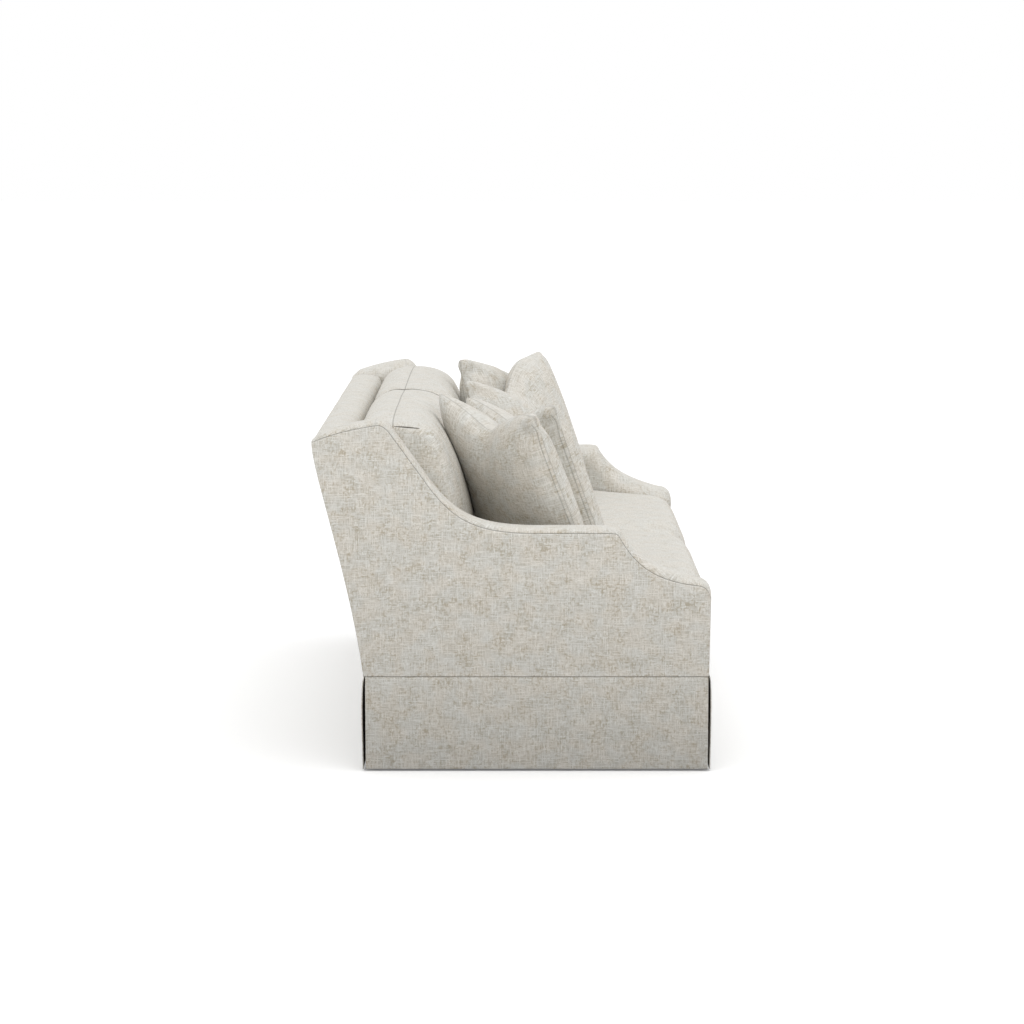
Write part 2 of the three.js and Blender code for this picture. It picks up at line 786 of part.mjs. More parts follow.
// A point of the pillow for shares across and up its square, on the front (1), back (-1) or edge (0).
function pillowPoint(across, up, face) {
  const half = pillowEdge / 2;
  const x = across * half * (1 - pillowDrawInShare * Math.cos((up * Math.PI) / 2));
  const chopShare = Math.max(0, 1 - Math.abs(across) / chopWidthShare) ** chopPower;
  const chop = up > 0 ? chopDepth * up ** 2 * chopShare : 0;
  const z = up * half * (1 - pillowDrawInShare * Math.cos((across * Math.PI) / 2)) - chop;
  const swell = Math.sqrt((1 - Math.abs(across) ** pillowPower) * (1 - Math.abs(up) ** pillowPower));
  return new THREE.Vector3(x, -face * (pillowThickness / 2) * swell, z);
}

function pillowRing(size, face) {
  const sides = [
    (s) => [1, s],
    (s) => [-s, 1],
    (s) => [-1, -s],
    (s) => [s, -1],
  ];
  return sides.flatMap((side) =>
    Array.from({ length: pillowSideSteps }, (_, i) => {
      const [across, up] = side((2 * i) / pillowSideSteps - 1);
      const ear = i === 0 && size === 1 ? earShare : 1;
      return pillowPoint(across * size * ear, up * size * ear, size === 1 ? 0 : face);
    }),
  );
}

// Stands a pillow's geometry, made about its middle, on its lower edge in its place.
function standing(geometry, { fromArm, inFront, sink, yaw, lean, roll }) {
  const [turn, back, tilt] = [yaw, lean, roll].map(THREE.MathUtils.degToRad);
  geometry.rotateY(-tilt).translate(0, 0, pillowEdge / 2).rotateX(-back).rotateZ(turn);
  const x = Math.sign(-yaw) * (armIn - fromArm); // each turns towards the sofa's middle
  return geometry.translate(x, seatY[1] - inFront, seatTop - sink);
}

function pillowForm(pillow, inner) {
  const sizes = inner ? innerPillowRingShares : pillowRingShares;
  const rings = [
    ...sizes.map((size) => pillowRing(size, 1)),
    pillowRing(1, 0),
    ...[...sizes].reverse().map((size) => pillowRing(size, -1)),
  ];
  return solidOf(standing(loft(rings, pillowPoint(0, 0, 1), pillowPoint(0, 0, -1)), pillow));
}

// The slit runs along one upright edge.
function pillowZip(pillow) {
  const half = pillowEdge / 2;
  return standing(block([-half - overrun, -half / 2], [0, zipWidth], [-half / 2, half / 2]), pillow);
}

function addStuffed(name, core, { cover, insert }, filling) {
  add(`${name}_cover`, geometryOf(cover), linen);
  add(`${name}_${core}`, geometryOf(insert), filling);
}

function addCushionsAndPillows() {
  const seat = seatForm(false);
  const backCushion = backCushionForm(false);
  const zipX = [seatMiddle.x - zipLength / 2, seatMiddle.x + zipLength / 2];
  const seatZipLevel = seatBottom + seatThickness / 2;
  const backZipLevel = seatTop + seatThickness / 2;
  const seatZipZ = [seatZipLevel, seatZipLevel + zipWidth];
  const seatZip = block(zipX, [seatY[1] - overrun, seatY[1] + overrun], seatZipZ);
  const backZip = block(zipX, [seatY[1] - overrun, rearLine], [backZipLevel, backZipLevel + zipWidth]);
  const stuffedSeat = stuffed(seat, seatForm(true), [insideBack], seatZip);
  const stuffedBack = stuffed(backCushion, backCushionForm(true), [insideBack, seat], backZip);
  for (const side of ["right", "left"]) {
    const turned = (solid) => (side === "left" ? mirrored(solid) : solid);
    const turnedBoth = ({ cover, insert }) => ({ cover: turned(cover), insert: turned(insert) });
    addStuffed(`seat_cushion_${side}`, "core", turnedBoth(stuffedSeat), foam);
    addStuffed(`back_cushion_${side}`, "insert", turnedBoth(stuffedBack), wadding);
    const carried = [insideBack, turned(seat), turned(backCushion)];
    for (const place of ["rear", "front"]) {
      const name = `pillow_${place}_${side}`;
      const form = pillowForm(pillows[name], false);
      const pieces = stuffed(form, pillowForm(pillows[name], true), carried, pillowZip(pillows[name]));
      addStuffed(name, "insert", pieces, wadding);
      carried.push(form);
    }
  }
}

addFrame();
addLegs();
addSprings();
addWebbing();
addDeckPad();
addCovers();
addSkirt();
addCushionsAndPillows();

export default sofa;
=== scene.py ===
import bpy
import bmesh
import math
from bmesh.types import BMEdge, BMFace, BMVert
from mathutils import Matrix, Vector, noise
from mathutils.bvhtree import BVHTree
from mathutils.geometry import interpolate_bezier


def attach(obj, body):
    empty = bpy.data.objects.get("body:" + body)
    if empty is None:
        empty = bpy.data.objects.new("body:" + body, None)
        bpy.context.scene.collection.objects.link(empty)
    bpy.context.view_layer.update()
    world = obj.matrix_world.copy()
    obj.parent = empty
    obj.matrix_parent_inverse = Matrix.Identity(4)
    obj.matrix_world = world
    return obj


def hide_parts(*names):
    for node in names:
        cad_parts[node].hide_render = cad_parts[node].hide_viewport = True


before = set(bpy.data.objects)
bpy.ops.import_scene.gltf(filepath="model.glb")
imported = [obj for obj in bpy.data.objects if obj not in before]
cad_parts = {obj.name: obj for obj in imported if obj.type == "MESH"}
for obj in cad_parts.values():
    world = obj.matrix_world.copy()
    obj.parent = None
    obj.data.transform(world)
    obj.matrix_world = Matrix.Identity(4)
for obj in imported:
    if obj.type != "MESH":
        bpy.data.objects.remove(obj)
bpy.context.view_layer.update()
scene = bpy.context.scene
print("sofa: frame loaded")

# Sofa sizes in metres, as the frame has them. +X along the sofa, front at -Y.
sofa = {
    "halfWidth": 1.090,
    "armIn": 0.950,  # inner faces of the arms
    "coverIn": 1.082,  # where an outside arm panel meets its strip
    "hem": 0.006,
    "deck": 0.325,
    "back": 0.098,  # rear line to the inside back, level
    "cushionMiddle": 0.4748,
    "cushionHalf": 0.4745,
}
ends = {"right": 1, "left": -1}

# Side line of an arm, as (Y, Z): each stretch is its handles and its end, after the first one's start
armLine = [
    [(-0.5149, 0.2530), (-0.5184, 0.4399)],
    [(-0.5208, 0.4899), (-0.4858, 0.4936)],
    [(-0.3518, 0.5067), (-0.3084, 0.5674), (-0.2745, 0.6278)],
    [(-0.2720, 0.6320), (-0.2403, 0.6320)],
    [(-0.0697, 0.6320)],
    [(0.0994, 0.6320), (0.1586, 0.6622), (0.2373, 0.7768)],
    [(0.3213, 0.8930)],
    [(0.3370, 0.9148), (0.3525, 0.9165)],
    [(0.4497, 0.9038), (0.5270, 0.8720)],
]
rearLine = [[(0.5270, 0.8720), (0.5280, 0.8001), (0.4298, 0.5199), (0.3953, 0.2530)]]


def clamped(share):
    return min(1.0, max(0.0, share))


def noiseAt(*place):
    return noise.noise(Vector(place))


def lineThrough(stretches, spacing=0.004):
    points, run = [], []
    for stretch in stretches:
        run = run[-1:] + [Vector(p) for p in stretch]
        if len(run) == 2:
            handles = [run[0].lerp(run[1], 1 / 3), run[0].lerp(run[1], 2 / 3)]
        elif len(run) == 3:
            handles = [run[0].lerp(run[1], 2 / 3), run[2].lerp(run[1], 2 / 3)]
        else:
            handles = run[1:3]
        count = max(6, round((run[-1] - run[0]).length / spacing))
        points += interpolate_bezier(run[0], *handles, run[-1], count)[1 if points else 0:]
    return [Vector(p[:2]) for p in points]


def evenly(points, count):  # the same line again, with evenly spaced points
    lengths = [0.0]
    for before, after in zip(points, points[1:]):
        lengths.append(lengths[-1] + (after - before).length)
    spaced, at = [], 0
    for step in range(count):
        wanted = lengths[-1] * step / (count - 1)
        while at < len(points) - 2 and lengths[at + 1] < wanted:
            at += 1
        share = (wanted - lengths[at]) / max(1e-9, lengths[at + 1] - lengths[at])
        spaced.append(points[at].lerp(points[at + 1], min(1.0, share)))
    return spaced, lengths[-1]


def curveThrough(points, count=160):  # a smooth open line through the points
    last, fine = len(points) - 1, []
    for at in range(last):
        p0, p1, p2, p3 = (Vector(points[min(last, max(0, at + k))]) for k in (-1, 0, 1, 2))
        for step in range(12):
            t = step / 12
            fine.append(0.5 * (2 * p1 + (p2 - p0) * t + (2 * p0 - 5 * p1 + 4 * p2 - p3) * t * t
                               + (3 * p1 - p0 - 3 * p2 + p3) * t ** 3))
    return evenly(fine + [Vector(points[-1])], count)


def placeOn(line, share):  # on a line of evenly spaced points
    at = clamped(share) * (len(line) - 1)
    first = min(int(at), len(line) - 2)
    return line[first].lerp(line[first + 1], at - first)


def leftOf(points, at, reach=1):
    before, after = points[max(0, at - reach)], points[min(len(points) - 1, at + reach)]
    way = (after - before).normalized()
    return Vector((-way.y, way.x))


armRun = lineThrough(armLine)
rearRun = lineThrough(rearLine)


def rearAt(height):  # the rear line's Y
    if height >= rearRun[0].y:
        return rearRun[0].x
    for above, below in zip(rearRun, rearRun[1:]):
        if below.y <= height:
            share = (height - below.y) / (above.y - below.y)
            return below.x + (above.x - below.x) * share
    return rearRun[-1].x


def padFace(height):  # Y of the inside back's face
    return rearAt(height) - sofa["back"]


# Shader helpers. A socket knows its tree, so only makeNode has to be told.
def feed(node, values):  # a fixed value or a link for each named input
    for name, value in values.items():
        if isinstance(value, (int, float, tuple)):
            node.inputs[name].default_value = value
        else:
            node.id_data.links.new(value, node.inputs[name])


def makeNode(tree, kind, values=None, **settings):
    made = tree.nodes.new("ShaderNode" + kind)
    for name, value in settings.items():
        setattr(made, name, value)
    feed(made, values or {})
    return made


def newGroup(name, inputs, outputs):
    group = bpy.data.node_groups.new(name, "ShaderNodeTree")
    for label, value in inputs.items():
        kind = "Vector" if value is None else "Color" if isinstance(value, tuple) else "Float"
        socket = group.interface.new_socket(label, in_out="INPUT", socket_type="NodeSocket" + kind)
        if value is not None:
            socket.default_value = value
    for label in outputs:
        kind = "Color" if label == "Color" else "Float"
        group.interface.new_socket(label, in_out="OUTPUT", socket_type="NodeSocket" + kind)
    return group, group.nodes.new("NodeGroupInput").outputs, group.nodes.new("NodeGroupOutput")


def worked(operation, first, *second):
    values = dict(enumerate((first, *second)))
    return makeNode(first.id_data, "Math", values, operation=operation).outputs[0]


def plus(first, second):
    return worked("ADD", first, second)


def times(first, second):
    return worked("MULTIPLY", first, second)


def most(first, second):
    return worked("MAXIMUM", first, second)


def ranged(value, low, high, toLow=0.0, toHigh=1.0):
    values = {"Value": value, "From Min": low, "From Max": high, "To Min": toLow, "To Max": toHigh}
    return makeNode(value.id_data, "MapRange", values, interpolation_type="SMOOTHSTEP").outputs["Result"]


def mixed(factor, first, second, blend="MIX"):
    tree = next(value.id_data for value in (factor, first) if not isinstance(value, (float, tuple)))
    values = {0: factor, 6: first, 7: second}
    return makeNode(tree, "Mix", values, data_type="RGBA", blend_type=blend).outputs[2]


def streaks(place, scale, detail, seed, dimensions="2D"):
    # noise with its own size along each axis, in features a metre
    tree, start = place.id_data, (seed, seed * 1.7, seed * 0.6)
    moved = makeNode(tree, "Mapping", {"Vector": place, "Scale": scale, "Location": start}).outputs["Vector"]
    values = {"Vector": moved, "Scale": 1.0, "Detail": detail, "Roughness": 0.55}
    return makeNode(tree, "TexNoise", values, noise_dimensions=dimensions).outputs["Fac"]


def crossed(place, along, across, detail, *seeds):  # the same noise along the weft and along the warp
    return [streaks(place, scale, detail, seed)
            for scale, seed in zip(((along, across, 1), (across, along, 1)), seeds)]


def slubWeaveGroup():
    # plain weave of uneven threads: pale ones stand out, brown ones gather in soft flecks
    group, given, result = newGroup("slub weave", {
        "Cloth": None, "Cloth color": (0.6, 0.6, 0.6, 1), "Pale thread": (0.7, 0.7, 0.7, 1),
        "Dark thread": (0.4, 0.4, 0.4, 1), "Fleck": (0.3, 0.2, 0.1, 1), "Fleck amount": 0.5, "Rise": 0.0,
    }, ("Color", "Height"))
    cloth, clothColor, darkThread = given["Cloth"], given["Cloth color"], given["Dark thread"]
    weft, warp = crossed(cloth, 26, 360, 1.0, 3.1, 7.7)
    fine = times(plus(*crossed(cloth, 120, 900, 0.0, 1.3, 5.9)), 0.5)
    # pale threads catch the eye one by one
    pale = most(ranged(weft, 0.56, 0.70), ranged(warp, 0.57, 0.71))
    threads = mixed(times(pale, 0.8), clothColor, given["Pale thread"])
    low = times(plus(weft, warp), 0.5)
    threads = mixed(times(ranged(low, 0.47, 0.34), 0.75), threads, darkThread)
    threads = mixed(times(ranged(fine, 0.54, 0.40), 0.40), threads, darkThread)
    # soft brown flecks, drawn a little along the threads, in loose patches
    crossing = most(*crossed(cloth, 75, 190, 2.0, 17.0, 23.0))
    gathered = plus(times(crossing, 0.7), times(streaks(cloth, (20, 20, 1), 2.0, 31.0), 0.3))
    for start, high, share in ((0.51, 0.68, 0.42), (0.635, 0.70, 0.55)):  # soft ones, then sharp ones
        fleck = times(ranged(gathered, start, high), given["Fleck amount"])
        threads = mixed(times(fleck, share), threads, given["Fleck"])
    hue = ranged(streaks(cloth, (17, 17, 1), 1.0, 41.0), 0.35, 0.65)
    warm = mixed(hue, (0.985, 0.998, 1.012, 1), (1.012, 0.998, 0.985, 1))
    woven = mixed(1.0, threads, warm, "MULTIPLY")
    # on faces that look up the weave is faded towards the plain cloth colour, a painted wash of the light
    # from above
    paintedTopWash = ranged(given["Rise"], 0.5, 0.95, 0.0, 0.45)
    feed(result, {"Color": mixed(paintedTopWash, woven, clothColor), "Height": plus(times(fine, 0.6), times(low, 0.7))})
    return group


def seamLineGroup():
    # the seam map holds distances in metres: X from a seam, Y from a row of stitches or the edge of a lap;
    # along both the colour is darkened as painted shade and the bump dips
    group, given, result = newGroup("seam line", {
        "Seam": None, "Color": (0.5, 0.5, 0.5, 1), "Height": 0.0, "Width": 0.0024, "Seam shadow": 0.7,
        "Row shadow": 0.5,
    }, ("Color", "Height"))
    parts, lines = makeNode(group, "SeparateXYZ", {0: given["Seam"]}).outputs, []
    for axis, strength in (("X", "Seam shadow"), ("Y", "Row shadow")):
        reach = worked("DIVIDE", worked("ABSOLUTE", parts[axis]), given["Width"])
        lines.append(times(ranged(reach, 0.22, 1.0, 1.0, 0.0), given[strength]))
    # painted shade along seams and rows, with the same mask for a dip in the bump
    seamShadeAndDip = most(*lines)
    dark = mixed(1.0, given["Color"], (0.10, 0.09, 0.075, 1), "MULTIPLY")
    feed(result, {"Color": mixed(seamShadeAndDip, given["Color"], dark),
                  "Height": worked("SUBTRACT", given["Height"], times(seamShadeAndDip, 1.5))})
    return group


def woodGrainGroup():
    group, given, result = newGroup("wood grain", {
        "Along grain": None, "Pale wood": (0.6, 0.4, 0.2, 1), "Dark wood": (0.3, 0.2, 0.1, 1),
    }, ("Color", "Roughness", "Height"))
    place = given["Along grain"]  # Z runs along the grain
    rings = streaks(place, (22, 22, 1.3), 3.0, 2.3, "3D")
    pores = streaks(place, (420, 420, 16), 1.0, 9.1, "3D")
    body = ranged(plus(times(rings, 0.7), times(pores, 0.3)), 0.38, 0.62)
    feed(result, {"Color": mixed(body, given["Dark wood"], given["Pale wood"]),
                  "Roughness": ranged(pores, 0.3, 0.7, 0.72, 0.5), "Height": pores})
    return group


slubWeave = slubWeaveGroup()
seamLine = seamLineGroup()
woodGrain = woodGrainGroup()


def newMaterial(name, looks):
    material = bpy.data.materials.new(name)
    material.use_nodes = True
    shader = material.node_tree.nodes["Principled BSDF"]
    feed(shader, looks)
    return material, material.node_tree, shader


def ownPlace(tree):
    return makeNode(tree, "TexCoord").outputs["Object"]


def raiseBump(shader, height, strength, depth):
    bump = makeNode(shader.id_data, "Bump", {"Height": height, "Strength": strength, "Distance": depth})
    feed(shader, {"Normal": bump.outputs["Normal"]})


linenValues = {
    "cloth": (0.680, 0.662, 0.617, 1),
    "pale": (0.800, 0.788, 0.750, 1),
    "dark": (0.500, 0.476, 0.420, 1),
    "fleck": (0.400, 0.345, 0.250, 1),
    "flecks": 1.0,
    "bump": (0.4, 0.0006),  # strength and height
    "roughness": 0.92,
    "sheen": (0.05, 0.6),  # weight and roughness
    "specular": 0.12,
    "seamShadow": 0.55,
    "rowShadow": 0.35,
}


def clothMaterial(name, **changes):
    values = dict(linenValues, **changes)
    sheen, sheenRoughness = values["sheen"]
    material, tree, shader = newMaterial(name, {
        "Roughness": values["roughness"], "Sheen Weight": sheen, "Sheen Roughness": sheenRoughness,
        "Specular IOR Level": values["specular"]})
    cloth, seam = (makeNode(tree, "UVMap", uv_map=layer).outputs["UV"] for layer in ("cloth", "seam"))
    facing = makeNode(tree, "SeparateXYZ", {0: makeNode(tree, "TexCoord").outputs["Normal"]})
    weave = makeNode(tree, "Group", node_tree=slubWeave)
    feed(weave, {"Cloth": cloth, "Rise": facing.outputs["Z"], "Cloth color": values["cloth"],
                 "Pale thread": values["pale"], "Dark thread": values["dark"], "Fleck": values["fleck"],
                 "Fleck amount": values["flecks"]})
    lines = makeNode(tree, "Group", node_tree=seamLine)
    feed(lines, {"Seam": seam, "Color": weave.outputs["Color"], "Height": weave.outputs["Height"],
                 "Seam shadow": values["seamShadow"], "Row shadow": values["rowShadow"]})
    feed(shader, {"Base Color": lines.outputs["Color"]})
    raiseBump(shader, lines.outputs["Height"], *values["bump"])
    return material


# these cloths differ in how dark they paint the shade along seams and rows; the back cushions' tucked linen
# paints its slit and crease nearly black
linen = clothMaterial("linen")
tuckedLinen = clothMaterial("tucked linen", seamShadow=0.42, rowShadow=0.98)
armLinen = clothMaterial("arm linen", seamShadow=0.74, rowShadow=0.14)
pillowLinen = clothMaterial("pillow linen", seamShadow=0.24, rowShadow=0.34)
lining = clothMaterial("lining", cloth=(0.50, 0.48, 0.43, 1), pale=(0.56, 0.54, 0.49, 1),
                       dark=(0.42, 0.40, 0.35, 1), flecks=0.0)
deckCloth = clothMaterial("deck cloth", cloth=(0.60, 0.585, 0.54, 1), pale=(0.66, 0.645, 0.60, 1),
                          dark=(0.52, 0.505, 0.46, 1), flecks=0.1)
cambric = clothMaterial("cambric", cloth=(0.035, 0.035, 0.037, 1), pale=(0.06, 0.06, 0.062, 1),
                        dark=(0.02, 0.02, 0.021, 1), flecks=0.0)
print("sofa: cloth materials made")


def newForm():  # a bmesh with the two cloth maps
    bm = bmesh.new()
    bm.loops.layers.uv.new("cloth")
    bm.loops.layers.uv.new("seam")
    return bm


def newGrid(columns, rows, size=0.5):
    bm = newForm()
    bmesh.ops.create_grid(bm, x_segments=columns, y_segments=rows, size=size)
    return bm


def only(kind, made):  # the vertices, edges or faces among what an operator made
    return [part for part in made["geom"] if isinstance(part, kind)]


def layMaps(bm, cloth, seam=None):
    # cloth(face, vert) gives metres of cloth, seam(face, vert) the distances to a seam and to a row
    clothLayer, seamLayer = bm.loops.layers.uv["cloth"], bm.loops.layers.uv["seam"]
    for face in bm.faces:
        for loop in face.loops:
            loop[clothLayer].uv = cloth(face, loop.vert)
            loop[seamLayer].uv = seam(face, loop.vert) if seam else (1.0, 1.0)


def mirrorAcross(bm):  # the same piece for the other end of the sofa
    for vert in bm.verts:
        vert.co.x = -vert.co.x
    bmesh.ops.reverse_faces(bm, faces=bm.faces[:])


def faceOut(bm):
    bmesh.ops.recalc_face_normals(bm, faces=bm.faces[:])


def faceTowards(bm, way):  # an open sheet's faces, all turned to one side
    bm.normal_update()
    if sum((face.normal * face.calc_area() for face in bm.faces), Vector()).dot(way) < 0:
        bmesh.ops.reverse_faces(bm, faces=bm.faces[:])


def addObject(name, data):
    made = bpy.data.objects.new(name, data)
    scene.collection.objects.link(made)
    return made


def makePiece(name, bm, body, nodes, material, levels=0, wall=0.0):
    mesh = bpy.data.meshes.new(name)
    bm.to_mesh(mesh)
    bm.free()
    mesh.shade_smooth()
    mesh.materials.append(material)
    piece = addObject(name, mesh)
    if wall:
        solid = piece.modifiers.new("wall", "SOLIDIFY")
        solid.thickness = wall
        solid.offset = -1
    if levels:
        smooth = piece.modifiers.new("smooth", "SUBSURF")
        smooth.levels = smooth.render_levels = levels
        smooth.uv_smooth = "NONE"
    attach(piece, body)
    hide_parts(*nodes)
    return piece


# Inside arm: one cloth from the outer seam over the arm's top and down its inner face
insideArm = {
    "stations": 300,
    "rows": 12,
    "steps": 26,
    # across the top, as (X, height over the side line)
    "section": [
        [(1.0814, -0.0055), (1.0814, 0.0050), (1.0690, 0.0078)],
        [(1.0450, 0.0108), (1.0130, 0.0108), (0.9920, 0.0068)],
        [(0.9660, 0.0015), (0.9504, -0.0110), (0.9504, -0.0380)],
    ],
    "wall": 0.0035,
    "crown": (0.28, 1.26),  # how much of the height a face has, and how much more a level top
    "scoop": (-0.48, 0.21, 0.9),  # start and length in Y of the front slope, and how much more it has
    "rearFade": (0.2, 0.035),  # share left at the rear corner, and the length that it fades over
    "rail": (0.22, 0.285, 0.05),  # share of the depth at the rail, its top, and the height to the full one
    "turning": 0.012,  # depth over which the lower part's direction takes over
    "smoothing": 12,  # stations that it is taken over
    "foot": (-0.5010, 0.2903),
    "rearFoot": 0.398,
    "footSpread": 1.1,
    "mitre": (0.352, 0.917),
    "mitreSlant": 0.09,
    "ripple": (0.0007, 9),  # height, and waves a metre
}


def insideArmForm(side):
    values = insideArm
    count, steps, rows = values["stations"], values["steps"], values["rows"]
    points, length = evenly(armRun, count)
    section, across = evenly(lineThrough(values["section"], 0.002), steps)
    peak = min(range(count), key=lambda i: (points[i] - Vector(values["mitre"])).length)
    foot = Vector(values["foot"])
    firstHigh = next(i for i, p in enumerate(points) if p.y > foot.y)
    scoopStart, scoopLength, scoopCrown = values["scoop"]
    fadeShare, fadeLength = values["rearFade"]
    shallow, railTop, railReach = values["rail"]
    rippleHeight, waves = values["ripple"]
    bm = newGrid(count - 1, steps - 1 + rows)
    cloth, seam = {}, {}
    for vert in bm.verts:
        station = round((vert.co.x + 0.5) * (count - 1))
        step = round((vert.co.y + 0.5) * (steps - 1 + rows))
        at = points[station]
        exact, general = leftOf(points, station), leftOf(points, station, values["smoothing"])
        # nothing reaches behind the rail's face
        depth = min(1.0, max(shallow, shallow + (at.y - railTop) / railReach))
        crown = values["crown"][0] + values["crown"][1] * max(0.0, exact.y)
        slope = (at.x - scoopStart) / scoopLength
        if 0 < slope < 1:
            crown += scoopCrown * math.sin(math.pi * slope)
        crown *= min(1.0, fadeShare + (count - 1 - station) / (count - 1) * length / fadeLength)

        def over(step):
            x, lift = section[min(step, steps - 1)]
            share = clamped((lift + values["turning"]) / values["turning"])
            way = general.lerp(exact, share).normalized()
            lift *= crown if lift > 0 else depth
            return x, at + way * lift, lift

        x, place, lift = over(step)
        ended = over(steps - 1)[1]
        run = across * min(step, steps - 1) / (steps - 1)
        flat = ended + general * (across - run)
        lower = step >= steps  # on the inner face, below the section
        if lower:
            if station < firstHigh:
                target = ended + Vector((0.003, 0))
            else:
                way = (station - firstHigh) / (count - 1 - firstHigh)
                reach = values["rearFoot"] - foot.x
                target = Vector((foot.x + way ** values["footSpread"] * reach, foot.y))
            place = flat = ended.lerp(target, (step - steps + 1) / rows)
            x = sofa["armIn"] + 0.0004
        ripple = rippleHeight * noiseAt(place.x * waves, place.y * waves, side * 5)
        ripple *= math.sin(math.pi * min(1, run / across))
        vert.co = Vector((x + ripple * lower, place.x, place.y + ripple * (not lower)))
        cloth[vert] = (flat.x + side * 3.0, flat.y)
        # distances to the outer seam and across the mitre, along which shade is painted
        along = (station - peak) / (count - 1) * length + (run - 0.5 * across) * values["mitreSlant"]
        sewn = lift + section[0].x - x - 0.0007 if x > 1.0 else 1.0
        seam[vert] = (sewn, along if 0 < step < steps else 1.0)
    layMaps(bm, lambda face, vert: cloth[vert], lambda face, vert: seam[vert])
    faceTowards(bm, Vector((0, 0, 1)))
    if side < 0:
        mirrorAcross(bm)
    return bm


def paddedPanel(outline, inner, outer, roll, place, clothShift, lip=0.0):
    # a flat panel of an outline, from inner to outer, whose outer edge rolls in to its seam
    rim = 0.006  # strip inside the roll, which keeps it crisp
    bm = newForm()
    ring = [bm.verts.new((p.x, p.y, inner)) for p in outline]
    moved = bmesh.ops.extrude_face_region(bm, geom=[bm.faces.new(ring)], use_keep_orig=True)
    bmesh.ops.translate(bm, verts=only(BMVert, moved), vec=(0, 0, outer - inner))
    bmesh.ops.bevel(bm, geom=[e for f in only(BMFace, moved) for e in f.edges], offset=roll, segments=4,
                    profile=0.5, affect="EDGES", material=-1)
    widest = max(bm.faces, key=lambda f: f.calc_area() * (f.calc_center_median().z > inner))
    bmesh.ops.inset_individual(bm, faces=[widest], thickness=rim, use_even_offset=True)
    faceOut(bm)
    # painted shade along the seam where the outer edge rolls in
    layMaps(bm, lambda face, vert: (vert.co.x + clothShift, vert.co.y),
            lambda face, vert: ((roll - abs(vert.co.z - outer)) * 1.4, 1.0))
    lowest = min(p.y for p in outline) + rim
    for vert in bm.verts:
        if vert.co.y < lowest and abs(vert.co.z - outer) < 0.5 * roll:
            vert.co.z += math.copysign(lip, outer - inner)
        vert.co = place(*vert.co)
    faceOut(bm)
    return bm


outsideArm = {"points": (230, 90), "roll": 0.0032, "lip": 0.0013}

for end, side in ends.items():
    arm = makePiece(f"insideArm_{end}", insideArmForm(side), "frame", [f"arm_strip_{end}", f"arm_pad_{end}"],
                    armLinen, wall=insideArm["wall"])
    alongArm, alongRear = (evenly(*ask)[0] for ask in zip((armRun, rearRun), outsideArm["points"]))
    bm = paddedPanel(alongArm + alongRear[1:], sofa["coverIn"], sofa["halfWidth"], outsideArm["roll"],
                     lambda y, z, x: Vector((side * x, y, z)), 5.0 * side, outsideArm["lip"])
    panel = makePiece(f"outsideArm_{end}", bm, "frame", [f"outside_arm_{end}"], linen)
print("sofa: arms made")

# Inside back, its rolled top edge and the outside back
insideBackValues = {
    "half": sofa["armIn"] - 0.0004,
    "columns": 90,
    "bottom": 0.303,
    "top": 0.8877,
    "roll": 0.036,  # height of the rolled edge
    "rearSeam": (0.527, 0.872),
    "crest": 0.042,  # how far before the rear line the top is reached
    "wall": 0.0585,  # rear line to the pad's rear face
    "wave": (0.0012, 0.80, 0.06),  # height, the level where it starts, and the height up to the full one
}


def insideBackProfile():
    values = insideBackValues
    top, bottom, low = values["top"], values["bottom"], values["top"] - values["roll"]
    start, crest = Vector((padFace(low), low)), Vector((rearAt(top) - values["crest"], top))
    seam = Vector(values["rearSeam"])
    face = [Vector((padFace(bottom + i * 0.02), bottom + i * 0.02)) for i in range(28)]
    roll = lineThrough([
        [start, (start.x + 0.004, top - values["roll"] / 2), (crest.x - 0.051, top), crest],
        [(0.515, top), seam],
    ])
    under = [seam + Vector(step) for step in ((0, -0.0075), (-0.008, -0.0080), (-0.008, -0.0190))]
    behind = [Vector((rearAt(z) - values["wall"], z)) for z in (0.8530, 0.75, 0.65, 0.55, 0.45, 0.35, bottom)]
    return [p for p in face if p.y < start.y - 0.004] + roll + under + behind


def sweptPad(profile, values):
    # a closed profile in (Y, Z) carried along X
    half, columns, (wave, waveStart, waveReach) = values["half"], values["columns"], values["wave"]
    bm = newForm()
    ring = [bm.verts.new((-half, p.x, p.y)) for p in profile]
    edges = [bm.edges.new((ring[i], ring[(i + 1) % len(ring)])) for i in range(len(ring))]
    for column in range(columns):
        made = bmesh.ops.extrude_edge_only(bm, edges=edges)
        edges = only(BMEdge, made)
        for vert in only(BMVert, made):
            vert.co.x = half * (2 * (column + 1) / columns - 1)
    bmesh.ops.holes_fill(bm, edges=[e for e in bm.edges if e.is_boundary], sides=0)
    faceOut(bm)
    layMaps(bm, lambda face, vert: (vert.co.x + 20, vert.co.z if vert.co.z < 0.86 else 0.43 + vert.co.y))
    for vert in bm.verts:
        free = clamped((vert.co.z - waveStart) / waveReach)
        vert.co.z += wave * free * noiseAt(vert.co.x * 4, vert.co.y * 6, 3)
    return bm


bm = sweptPad(insideBackProfile(), insideBackValues)
insideBack = makePiece("insideBack", bm, "frame", ["inside_back_pad"], linen)


def edged(step, count, size):  # share of a row, with one row close to each border so that the rim stays crisp
    if step in (0, count):
        return step / count
    close = 0.0012 / size
    return close + (step - 1) / (count - 2) * (1 - 2 * close)


